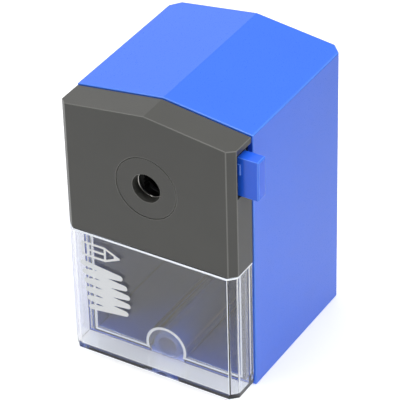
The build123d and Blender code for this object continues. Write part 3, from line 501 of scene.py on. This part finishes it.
def grid_mesh(name: str, points: np.ndarray) -> bpy.types.Mesh:
    """Mesh of a tube-like surface given as points on a grid of two parameters, u by v.

    The last column joins the first. The rows run from one end to the other.

    Args:
        name: the mesh's name.
        points: array of shape (u, v, 3).

    Returns:
        A smooth-shaded mesh; points that meet are merged, which closes an end or a ring.
    """
    rows, columns = points.shape[:2]
    index = np.arange(rows * columns).reshape(rows, columns)
    index = np.hstack([index, index[:, :1]])
    corners = np.stack([index[:-1, :-1], index[1:, :-1], index[1:, 1:], index[:-1, 1:]], axis=-1)
    mesh = bpy.data.meshes.new(name)
    mesh.from_pydata(points.reshape(-1, 3).tolist(), [], corners.reshape(-1, 4).tolist())
    work = bmesh.new()
    work.from_mesh(mesh)
    bmesh.ops.remove_doubles(work, verts=work.verts, dist=MERGE)
    bmesh.ops.recalc_face_normals(work, faces=work.faces)
    work.to_mesh(mesh)
    work.free()
    mesh.shade_smooth()
    mesh.set_sharp_from_angle(angle=SHARP_ANGLE)
    return mesh


def turned(name: str, profile: np.ndarray, centre: Vector, steps: int = 72) -> bpy.types.Mesh:
    """Surface of revolution about the line through centre along Y.

    The point at angle t is (r cos t, y, r sin t) for each (y, r) of the profile, moved to the centre.

    Args:
        name: the mesh's name.
        profile: (y, r) pairs in metres; a profile that ends where it starts makes a ring.
        centre: a point on the axis; only its x and z count.
        steps: divisions round the axis.

    Returns:
        The mesh.
    """
    angle = np.linspace(0, 2 * pi, steps, endpoint=False)
    r = profile[:, 1:]
    y = np.broadcast_to(profile[:, :1], (len(profile), steps))
    points = np.stack([centre.x + r * np.cos(angle), y, centre.z + r * np.sin(angle)], axis=-1)
    return grid_mesh(name, points)


def wire_coil(
    name: str, start: Vector, axis: Vector, length: float, coil_r: float, wire_r: float, turns: float
) -> bpy.types.Mesh:
    """Round wire wound into an open compression spring with closed end turns.

    The path is a helix that stays level over closed_turns at each end and climbs evenly between them; the
    wire is a circle carried along it, square to the path.

    Args:
        name: the mesh's name.
        start: centre of the first end.
        axis: unit vector along the spring.
        length: over-all length.
        coil_r: radius to the middle of the wire.
        wire_r: radius of the wire.
        turns: number of turns.

    Returns:
        The mesh.
    """
    closed_turns = 0.9
    count = int(turns * TURN_STEPS)
    u = np.linspace(0, 1, count)
    rise = np.clip((u * turns - closed_turns) / (turns - 2 * closed_turns), 0, 1)
    height = wire_r + rise * (length - 2 * wire_r)
    helper = Vector((0, 0, 1)) if abs(axis.z) < 0.9 else Vector((1, 0, 0))
    side = np.array(axis.cross(helper).normalized())
    other = np.array(axis.cross(Vector(side)))
    along = np.array(axis)
    turn = (u * turns * 2 * pi)[:, None]
    out = np.cos(turn) * side + np.sin(turn) * other
    path = np.array(start) + out * coil_r + along * height[:, None]
    tangent = np.gradient(path, axis=0)
    tangent /= np.linalg.norm(tangent, axis=1, keepdims=True)
    third = np.cross(tangent, out)
    ring = np.linspace(0, 2 * pi, WIRE_SIDES, endpoint=False)
    shell = (
        path[:, None]
        + wire_r * np.cos(ring)[None, :, None] * out[:, None]
        + wire_r * np.sin(ring)[None, :, None] * third[:, None]
    )
    ends = [np.repeat(path[i : i + 1, None], WIRE_SIDES, axis=1) for i in (0, -1)]
    return grid_mesh(name, np.concatenate([ends[0], shell, ends[1]]))


def bead(
    name: str,
    path: np.ndarray,
    face: tuple[float, float, float],
    half_width: np.ndarray | float,
    half_height: float,
    round_ends: bool = False,
) -> bpy.types.Mesh:
    """Flat bead or stroke along an open path that lies in one plane.

    The section is an ellipse, half_width across the path in its plane and half_height along the plane's
    normal. At a corner it is mitred. With round ends, the path is carried on by a sin p while the width
    falls off as a cos p, for p from 0 to a quarter turn.

    Args:
        name: the mesh's name.
        path: array of shape (n, 3), in metres.
        face: unit normal of the path's plane.
        half_width: half the bead's width, one value or one for each point.
        half_height: half its thickness.
        round_ends: ends in half circles instead of square.

    Returns:
        The mesh.
    """
    width = np.broadcast_to(np.asarray(half_width, float), len(path)).copy()
    if round_ends:
        p = np.linspace(0, pi / 2, 7)[1:, None]
        first, last = path[0] - path[1], path[-1] - path[-2]
        head = path[0] + width[0] * np.sin(p) * first / np.linalg.norm(first)
        tail = path[-1] + width[-1] * np.sin(p) * last / np.linalg.norm(last)
        path = np.concatenate([head[::-1], path, tail])
        fall = np.cos(p[:, 0])
        width = np.concatenate([width[0] * fall[::-1], width, width[-1] * fall])
    normal = np.array(face, float)
    steps = np.diff(path, axis=0)
    steps /= np.linalg.norm(steps, axis=1, keepdims=True)
    side_in = np.cross(np.vstack([steps[:1], steps]), normal)
    side_out = np.cross(np.vstack([steps, steps[-1:]]), normal)
    side = side_in + side_out
    side /= np.linalg.norm(side, axis=1, keepdims=True)
    mitre = 1 / np.clip((side * side_in).sum(axis=1), MITRE_LEAST, 1)
    t = np.linspace(0, 2 * pi, BEAD_SIDES, endpoint=False)[None, :, None]
    across = (width * mitre)[:, None, None] * side[:, None]
    shell = path[:, None] + np.cos(t) * across + np.sin(t) * half_height * normal
    ends = [np.repeat(path[k : k + 1, None], BEAD_SIDES, axis=1) for k in (0, -1)]
    return grid_mesh(name, np.concatenate([ends[0], shell, ends[1]]))


def joined(name: str, meshes: list[bpy.types.Mesh]) -> bpy.types.Mesh:
    """Puts several meshes into one.

    Args:
        name: the new mesh's name.
        meshes: the meshes, which are removed.

    Returns:
        The joined mesh.
    """
    work = bmesh.new()
    for mesh in meshes:
        work.from_mesh(mesh)
        bpy.data.meshes.remove(mesh)
    whole = bpy.data.meshes.new(name)
    work.to_mesh(whole)
    work.free()
    return whole


class Model:
    """The loaded CAD frame, and the pieces that are made from its nodes."""

    def __init__(self, frame: dict, palette: Palette) -> None:
        """Keeps the frame and the finishes.

        Args:
            palette: the finishes.
        """
        self.nodes = frame["nodes"]
        self.joints = {joint["name"]: joint for joint in frame["joints"]}
        self.palette = palette

    def travel(self, joint: str) -> float:
        """Length of a slide.

        Args:
            joint: the slide's name.

        Returns:
            Its travel in metres.
        """
        low, high = self.joints[joint]["range_m"]
        return high - low

    def stand_in(self, piece: bpy.types.Object, *names: str) -> bpy.types.Object:
        """Makes a piece stand for CAD nodes and ride on their body.

        Args:
            piece: the new piece.
            names: the nodes that it replaces.

        Returns:
            The piece.
        """
        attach(piece, self.nodes[names[0]]["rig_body"])
        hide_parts(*names)
        return piece

    def rounded(
        self,
        node: str,
        finish: Finish,
        radius_mm: float,
        edge: Finish | None = None,
    ) -> bpy.types.Object:
        """Stands in for a CAD node with the same shape and softened edges, as a mould or a tumbler leaves.

        Args:
            node: the CAD node.
            finish: its finish.
            radius_mm: size of the rounding; 0 leaves the edges as they are.
            edge: finish of the rounded edges; the lighter edge finishes given here paint a highlight on
                them.

        Returns:
            The new piece.
        """
        work = bmesh.new()
        work.from_mesh(self.nodes[node].data)
        bmesh.ops.remove_doubles(work, verts=work.verts, dist=CAD_MERGE)
        bmesh.ops.dissolve_limit(work, angle_limit=FLAT_ANGLE, verts=work.verts, edges=work.edges)
        mesh = bpy.data.meshes.new(node + "_skin")
        work.to_mesh(mesh)
        work.free()
        mesh.shade_smooth()
        mesh.set_sharp_from_angle(angle=EDGE_ANGLE)
        piece = link_piece(node + "_skin", mesh, self.palette[finish])
        if radius_mm > 0:
            bevel = piece.modifiers.new("edges", "BEVEL")
            bevel.width = radius_mm * MM
            bevel.segments = EDGE_SEGMENTS
            bevel.limit_method = "ANGLE"
            bevel.angle_limit = EDGE_ANGLE
            bevel.use_clamp_overlap = False
            bevel.harden_normals = True
            bevel.miter_outer = "MITER_ARC"
            if edge is not None:
                mesh.materials.append(self.palette[edge])
                bevel.material = 1
        return self.stand_in(piece, node)


# ---------------------------------------------------------------- sub-assemblies
@dataclass
class HousingUnit:
    """The blue box and what is fixed in it: pads, inner frame, bushes, screws, rear collar, ring gear."""

    edge_mm: float = 0.45

    def build(self, model: Model) -> None:
        """Dresses the housing's pieces.

        Args:
            model: the loaded frame.
        """
        # the lighter edge finish paints a highlight on the housing's rounded edges
        model.rounded("housing", Finish.BLUE_ABS, self.edge_mm, Finish.BLUE_EDGE_HIGHLIGHT)
        model.rounded("rear_collar", Finish.GREY_ABS, 0.3)
        model.rounded("inner_frame", Finish.BLACK_NYLON, 0.2)
        model.rounded("frame_screws", Finish.PLATED_STEEL, 0.12)
        model.rounded("nose_bush", Finish.ACETAL, 0.15)
        model.rounded("rod_bushes", Finish.ACETAL, 0.1)
        model.rounded("ring_gear", Finish.ACETAL, 0.0)
        model.rounded("rubber_pads", Finish.RUBBER, 0.15)


@dataclass
class FrontCarriage:
    """The grey front with its pencil collar, rods, feed springs and the plates that hold the clamp."""

    edge_mm: float = 0.25
    spring_turns: int = 15
    wire_mm: float = 0.22
    coil_mm: float = 2.65
    lip_r_mm: float = 4.95
    lip_mm: float = 0.2
    lip_steps: int = 16

    def build(self, model: Model) -> None:
        """Dresses the carriage's pieces.

        Args:
            model: the loaded frame.
        """
        # the lighter edge finish paints a highlight on the rounded edges of the bezel and the collar
        model.rounded("bezel", Finish.GREY_ABS, self.edge_mm, Finish.GREY_EDGE_HIGHLIGHT)
        model.rounded("pencil_collar", Finish.GREY_ABS, 0.15, Finish.GREY_EDGE_HIGHLIGHT)
        model.rounded("guide_plate", Finish.SHEET_STEEL, 0.1)
        model.rounded("clamp_cover", Finish.SHEET_STEEL, 0.12)
        model.rounded("cover_screws", Finish.PLATED_STEEL, 0.1)
        model.rounded("pinion_pin", Finish.TOOL_STEEL, 0.1)
        model.rounded("guide_rods", Finish.PLATED_STEEL, 0.15)
        model.rounded("rod_clips", Finish.SPRING_WIRE, 0.08)
        self._entry_lip(model)
        for side in ("left", "right"):
            self._feed_spring(model, "feed_spring_" + side)

    def _entry_lip(self, model: Model) -> None:
        """Rolls the edge of the guide plate's hole, a bright line deep in the pencil entry.

        Args:
            model: the loaded frame.
        """
        low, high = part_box("pencil_collar")
        turn = np.linspace(0, 2 * pi, self.lip_steps + 1)
        y = high.y + self.lip_mm * MM * np.cos(turn)
        r = (self.lip_r_mm + self.lip_mm * np.sin(turn)) * MM
        mesh = turned("entry_lip", np.stack([y, r], axis=-1), (low + high) / 2)
        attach(link_piece("entry_lip", mesh, model.palette[Finish.PLATED_STEEL]), "carriage")

    def _feed_spring(self, model: Model, node: str) -> None:
        """Winds one feed spring at its full length.

        Args:
            model: the loaded frame.
            node: the spring's CAD node.
        """
        low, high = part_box(node)
        centre = (low + high) / 2
        start = Vector((centre.x, low.y, centre.z))
        length = high.y - low.y
        mesh = wire_coil(
            node + "_wire",
            start,
            Vector((0, 1, 0)),
            length,
            self.coil_mm * MM,
            self.wire_mm * MM,
            self.spring_turns,
        )
        piece = link_piece(node + "_wire", mesh, model.palette[Finish.SPRING_WIRE])
        model.stand_in(piece, node)
        keep = (length - model.travel("feed_slide")) / length
        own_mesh(piece)


@dataclass
class PencilClamp:
    """Push button, the two jaws that it opens, their rack and pinion, and the button's spring."""

    spring_turns: int = 9
    wire_mm: float = 0.2
    coil_mm: float = 1.4

    def build(self, model: Model) -> None:
        """Dresses the clamp's pieces.

        Args:
            model: the loaded frame.
        """
        # the lighter edge finish paints a highlight on the button's rounded edges
        model.rounded("push_button", Finish.BUTTON_ABS, 0.2, Finish.BLUE_EDGE_HIGHLIGHT)
        model.rounded("jaw_slide", Finish.BLACK_NYLON, 0.05)
        model.rounded("jaw_pinion", Finish.ACETAL, 0.0)
        model.rounded("left_jaw", Finish.RUBBER, 0.08)
        model.rounded("right_jaw", Finish.RUBBER, 0.08)
        low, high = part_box("button_spring")
        centre = (low + high) / 2
        mesh = wire_coil(
            "button_spring_wire",
            Vector((low.x, centre.y, centre.z)),
            Vector((1, 0, 0)),
            high.x - low.x,
            self.coil_mm * MM,
            self.wire_mm * MM,
            self.spring_turns,
        )
        piece = link_piece("button_spring_wire", mesh, model.palette[Finish.SPRING_WIRE])
        model.stand_in(piece, "button_spring")
        keep = (high.x - low.x - model.travel("button_press")) / (high.x - low.x)
        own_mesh(piece)


@dataclass
class CutterUnit:
    """Carrier with the helical cutter and its planet gear."""

    def build(self, model: Model) -> None:
        """Dresses the cutter's pieces.

        Args:
            model: the loaded frame.
        """
        model.rounded("cutter_carrier", Finish.BLACK_NYLON, 0.25)
        model.rounded("helical_cutter", Finish.TOOL_STEEL, 0.0)
        model.rounded("planet_gear", Finish.SHEET_STEEL, 0.05)


@dataclass
class CrankHandle:
    """Hub, arm, screw, pin and knob at the back."""

    def build(self, model: Model) -> None:
        """Dresses the crank's pieces.

        Args:
            model: the loaded frame.
        """
        model.rounded("crank_hub", Finish.GREY_ABS, 0.3)
        model.rounded("crank_arm", Finish.PLATED_STEEL, 0.2)
        model.rounded("crank_screw", Finish.PLATED_STEEL, 0.2)
        model.rounded("knob_pin", Finish.PLATED_STEEL, 0.2)
        model.rounded("crank_knob", Finish.BLUE_ABS, 0.3)


@dataclass
class ShavingsDrawer:
    """Clear drawer: its moulded body, shining beads that paint highlight lines along its top, round its
    opening and down its right front corner, and a printed pencil over a patch of hatching on its front."""

    edge_mm: float = 0.2
    tray_depth_mm: float = 9.4  # front face to the box's opening
    opening_in_mm: float = 3.95  # drawer's side to the opening's side
    opening_down_mm: float = 0.4  # drawer's top to the rim's upper ends
    floor_up_mm: float = 2.9
    tunnel_up_mm: float = 5.1  # drawer's foot to the tunnel's axis
    tunnel_r_mm: float = 7.3
    arch_steps: int = 49
    arch_foot_mm: float = 0.4  # floor's rim runs on under the arch's foot by this
    rim_mm: float = 0.3  # half widths of the painted highlight beads
    arch_mm: float = 0.5
    rim_height_mm: float = 0.25
    lip_mm: float = 0.3
    lip_in_mm: float = 0.1
    lip_back_mm: float = 11.8  # front face to the ends of the top highlight bead at the housing
    chamfer_mm: float = 2.5
    line_in_mm: float = 0.08
    line_foot_mm: float = 2.0
    line_mm: float = 0.12
    outline_mm: float = 0.42  # half widths of the printed strokes
    hatch_mm: float = 1.08
    ink_mm: float = 0.03

    def build(self, model: Model) -> None:
        """Dresses the drawer.

        Args:
            model: the loaded frame.
        """
        model.rounded("drawer", Finish.CLEAR, self.edge_mm)
        low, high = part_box("drawer")
        # shining beads that paint highlight lines on the clear drawer
        highlight_lines = [self._opening_highlight(low, high), self._top_highlight(low, high), *self._corner_highlights(low, high)]
        self._add(model, "drawer_painted_highlights", joined("drawer_painted_highlights", highlight_lines), Finish.CLEAR_EDGE_PAINTED_GLOW)
        ink = self._pencil(low) + self._hatching(low)
        self._add(model, "drawer_print", joined("drawer_print", ink), Finish.WHITE_INK)

    def _add(self, model: Model, name: str, mesh: bpy.types.Mesh, finish: Finish) -> None:
        """Adds a piece that moves with the drawer.

        Args:
            model: the loaded frame.
            name: the piece's name.
            mesh: its mesh, in place.
            finish: its finish.
        """
        piece = link_piece(name, mesh, model.palette[finish])
        mesh.shade_smooth()
        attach(piece, "drawer")

    def _opening_highlight(self, low: Vector, high: Vector) -> bpy.types.Mesh:
        """Painted highlight line round the box's opening, a shining bead: down the left, along the floor,
        over the tunnel, along and up the right.

        Args:
            low: the drawer's lowest corner.
            high: its highest corner.

        Returns:
            The highlight bead's mesh.
        """
        y = low.y + self.tray_depth_mm * MM
        side = high.x - self.opening_in_mm * MM
        floor = low.z + self.floor_up_mm * MM
        centre = low.z + self.tunnel_up_mm * MM
        radius = self.tunnel_r_mm * MM
        foot = np.arcsin((floor - centre) / radius)
        turn = np.linspace(pi - foot, foot, self.arch_steps)
        arch = np.stack(
            [radius * np.cos(turn), np.full(self.arch_steps, y), centre + radius * np.sin(turn)], axis=-1
        )
        top, floor_end = high.z - self.opening_down_mm * MM, arch[0, 0] - self.arch_foot_mm * MM
        left = np.array([(-side, y, top), (-side, y, floor), (floor_end, y, floor)])
        right = left[::-1] * (-1, 1, 1)
        path = np.concatenate([left, arch, right])
        width = np.full(len(path), self.rim_mm * MM)
        width[len(left) : -len(right)] = self.arch_mm * MM
        return bead("opening_highlight", path, (0, -1, 0), width, self.rim_height_mm * MM)

    def _top_highlight(self, low: Vector, high: Vector) -> bpy.types.Mesh:
        """Painted highlight line, a shining bead, along the top of the front, round both chamfered corners
        to the housing.

        Args:
            low: the drawer's lowest corner.
            high: its highest corner.

        Returns:
            The highlight bead's mesh.
        """
        inset = self.lip_in_mm * MM
        x, y = high.x - inset, low.y + inset
        cut = self.chamfer_mm * MM
        z = high.z - self.lip_mm * MM
        back = low.y + self.lip_back_mm * MM
        half = np.array([(-x, back, z), (-x, y + cut, z), (-x + cut, y, z)])
        path = np.concatenate([half, half[::-1] * (-1, 1, 1)])
        return bead("top_highlight", path, (0, 0, 1), self.lip_mm * MM, self.lip_mm * MM)

    def _corner_highlights(self, low: Vector, high: Vector) -> list[bpy.types.Mesh]:
        """Painted highlight lines, shining beads, down both edges of the right front corner; the left front
        corner has none.

        Args:
            low: the drawer's lowest corner.
            high: its highest corner.

        Returns:
            One mesh for each line.
        """
        x, y, cut = high.x - self.line_in_mm * MM, low.y + self.line_in_mm * MM, self.chamfer_mm * MM
        top, foot = high.z - self.lip_mm * MM, low.z + self.line_foot_mm * MM
        half = self.line_mm * MM
        return [
            bead("corner_highlight", np.array([(a, b, top), (a, b, foot)]), (0, -1, 0), half, half)
            for a, b in ((x - cut, y), (x, y + cut))
        ]

    def _stroke(self, low: Vector, points: list[tuple[float, float]], half_mm: float) -> bpy.types.Mesh:
        """One printed stroke with round ends.

        Args:
            low: the drawer's lowest corner.
            points: (x, z) pairs in mm on the front.
            half_mm: half the stroke's width.

        Returns:
            Its mesh.
        """
        flat = np.array(points) * MM
        path = np.stack([flat[:, 0], np.full(len(flat), low.y), flat[:, 1]], axis=-1)
        return bead("stroke", path, (0, -1, 0), half_mm * MM, self.ink_mm * MM, round_ends=True)

    def _pencil(self, low: Vector) -> list[bpy.types.Mesh]:
        """A plain outline of a six-sided pencil that points right.

        Args:
            low: the drawer's lowest corner.

        Returns:
            One mesh for each stroke.
        """
        tail, cap, collar, lead, tip = -25.6, -23.4, -17.0, -13.2, -11.6
        foot, middle, top = 41.5, 44.0, 46.5
        lines = [
            [(tail, foot), (collar, foot)],
            [(tail, top), (collar, top)],
            [(tail, foot), (tail, top)],
            [(collar, foot), (tip, middle)],
            [(collar, top), (tip, middle)],
            [(collar, foot), (collar, top)],
            [(cap, foot), (cap, top)],
            [(cap, middle), (collar, middle)],
            [(lead, middle), (tip, middle)],
        ]
        return [self._stroke(low, line, self.outline_mm) for line in lines]

    def _hatching(self, low: Vector) -> list[bpy.types.Mesh]:
        """A zigzag of pencil hatching: strokes between two edges, each starting where the last one ends.

        The left edge leans by left_lean for each turn, and the right edge bulges as a half sine wave.

        Args:
            low: the drawer's lowest corner.

        Returns:
            One mesh for each stroke.
        """
        count, top, drop = 11, 38.0, 1.75
        left, left_lean, right, bulge = -25.8, 0.25, -12.5, 3.6
        step = np.arange(count)
        height = top - drop * step
        outer = right + bulge * np.sin(pi * step / (count + 1))
        reach = np.where(step % 2 == 0, left + left_lean * step, outer)
        points = list(zip(reach.tolist(), height.tolist()))
        return [self._stroke(low, list(pair), self.hatch_mm) for pair in zip(points, points[1:])]


# ---------------------------------------------------------------- studio
@dataclass(frozen=True)
class Softbox:
    """A square lamp that looks at the sharpener: its centre and side in metres, and its watts."""

    name: str
    place: tuple[float, float, float]
    size: float
    power: float


SOFTBOXES = (
    Softbox("key", (0.5, 0.0, 0.95), 0.7, 1.6),
    Softbox("overhead", (-0.1, -0.05, 1.1), 0.8, 7.0),
    Softbox("sheen", (-0.85, 0.8, 0.42), 0.8, 0.7),
    Softbox("near_fill", (0.27, -0.06, 0.30), 0.15, 0.42),
    Softbox("edge", (-0.52, -0.68, 0.84), 0.25, 1.4),
)


@dataclass
class Studio:
    """Camera, floor and lights: a product table in soft light."""

    azimuth: float = 31.63
    elevation: float = 34.64
    distance: float = 0.8218
    roll: float = -1.648
    lens: float = 222.77
    target: tuple[float, float, float] = (0.00026, -0.0100, 0.05196)
    table_light: float = 0.38
    front_light: float = 0.08
    back_light: float = 0.75
    back_wall: tuple[float, float, float] = (-0.45, 0.75, 0.35)
    dusk: tuple[float, float] = (-0.3, 0.9)  # where the world turns from dim to bright
    flag: tuple[float, float, float, float] = (0.16, 0.02, 0.35, 0.17)  # x, front, back, top
    floor_half: float = 6.0
    floor_gap: float = 0.0002
    aim_height: float = 0.05

    def build(self) -> None:
        """Sets up the whole studio."""
        self._camera()
        self._floor()
        self._world()
        for box in SOFTBOXES:
            self._softbox(box)
        self._flag()
        bpy.context.scene.view_settings.view_transform = "Standard"

    def _camera(self) -> None:
        """Points the camera by azimuth and elevation, and turns it about its own axis by the roll."""
        az, el, roll = radians(self.azimuth), radians(self.elevation), radians(self.roll)
        back = Vector((sin(az) * cos(el), -cos(az) * cos(el), sin(el)))
        right = (-back).cross(Vector((0, 0, 1))).normalized()
        up = right.cross(-back)
        rolled = cos(roll) * right + sin(roll) * up
        upright = -sin(roll) * right + cos(roll) * up
        data = bpy.data.cameras.new("camera")
        data.lens = self.lens
        data.sensor_width = 36.0
        data.clip_start, data.clip_end = 0.01, 20.0
        camera = bpy.data.objects.new("camera", data)
        bpy.context.scene.collection.objects.link(camera)
        turn = Matrix((rolled, upright, back)).transposed().to_4x4()
        camera.matrix_world = Matrix.Translation(Vector(self.target) + back * self.distance) @ turn
        bpy.context.scene.camera = camera

    def _floor(self) -> None:
        """Lays a wide pale floor under the sharpener."""
        side = self.floor_half
        corners = [(-side, -side, 0), (side, -side, 0), (side, side, 0), (-side, side, 0)]
        mesh = bpy.data.meshes.new("floor")
        mesh.from_pydata(corners, [], [(0, 1, 2, 3)])
        material, tree, out = new_material("floor_paper")
        shader = add_node(
            tree,
            "ShaderNodeBsdfPrincipled",
            inputs={
                "Base Color": linear("#e4e4e4"),
                "Roughness": 0.9,
                "Specular IOR Level": 0.1,
                "Emission Color": linear("#ffffff"),
                "Emission Strength": self.table_light,
            },
        )
        tree.links.new(shader.outputs[0], out.inputs[0])
        floor = link_piece("floor", mesh, material)
        floor.location.z = -self.floor_gap

    def _flag(self) -> None:
        """Stands a black card, hidden from the camera, beside the right wall, which darkens to the back."""
        x, front, back, top = self.flag
        mesh = bpy.data.meshes.new("flag")
        mesh.from_pydata([(x, front, 0), (x, back, 0), (x, back, top), (x, front, top)], [], [(0, 1, 2, 3)])
        material, tree, out = new_material("black_card")
        shader = add_node(
            tree, "ShaderNodeBsdfPrincipled", inputs={"Base Color": linear("#101010"), "Roughness": 0.9}
        )
        tree.links.new(shader.outputs[0], out.inputs[0])
        flag = link_piece("flag", mesh, material)
        flag.visible_camera = False

    def _world(self) -> None:
        """White light from all round, dim in front and bright towards the back wall.

        The light in a direction d is front + (back - front) * smoothstep(d . w), where w points at the wall
        and the step runs between the two values of dusk.
        """
        world = bpy.data.worlds.new("studio")
        world.use_nodes = True
        tree = world.node_tree
        wall = Vector(self.back_wall).normalized()
        dim, bright = self.dusk
        place = add_node(tree, "ShaderNodeTexCoord")
        facing = add_node(
            tree,
            "ShaderNodeVectorMath",
            {"operation": "DOT_PRODUCT"},
            {0: place.outputs["Generated"], 1: tuple(wall)},
        )
        light = add_node(
            tree,
            "ShaderNodeMapRange",
            {"interpolation_type": "SMOOTHSTEP"},
            {
                "Value": facing.outputs["Value"],
                "From Min": dim,
                "From Max": bright,
                "To Min": self.front_light,
                "To Max": self.back_light,
            },
        )
        sky = tree.nodes["Background"]
        sky.inputs[0].default_value = linear("#ffffff")
        tree.links.new(light.outputs["Result"], sky.inputs[1])
        bpy.context.scene.world = world

    def _softbox(self, box: Softbox) -> None:
        """Hangs a softbox and turns it to the sharpener.

        Args:
            box: the softbox.
        """
        data = bpy.data.lights.new(box.name, "AREA")
        data.shape = "SQUARE"
        data.size = box.size
        data.energy = box.power
        lamp = bpy.data.objects.new(box.name, data)
        bpy.context.scene.collection.objects.link(lamp)
        lamp.location = box.place
        lamp.rotation_mode = "QUATERNION"
        back = Vector(box.place) - Vector((0, 0, self.aim_height))
        lamp.rotation_quaternion = back.to_track_quat("Z", "Y")


def main() -> None:
    """Builds the sharpener's pieces, then the studio."""
    logging.basicConfig(level=logging.INFO, format="%(name)s: %(message)s")
    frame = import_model()
    model = Model(frame, Palette())
    units = (HousingUnit(), FrontCarriage(), PencilClamp(), CutterUnit(), CrankHandle(), ShavingsDrawer())
    for unit in units:
        log.info("building %s", type(unit).__name__)
        unit.build(model)
    Studio().build()


if __name__ == "__main__":
    main()
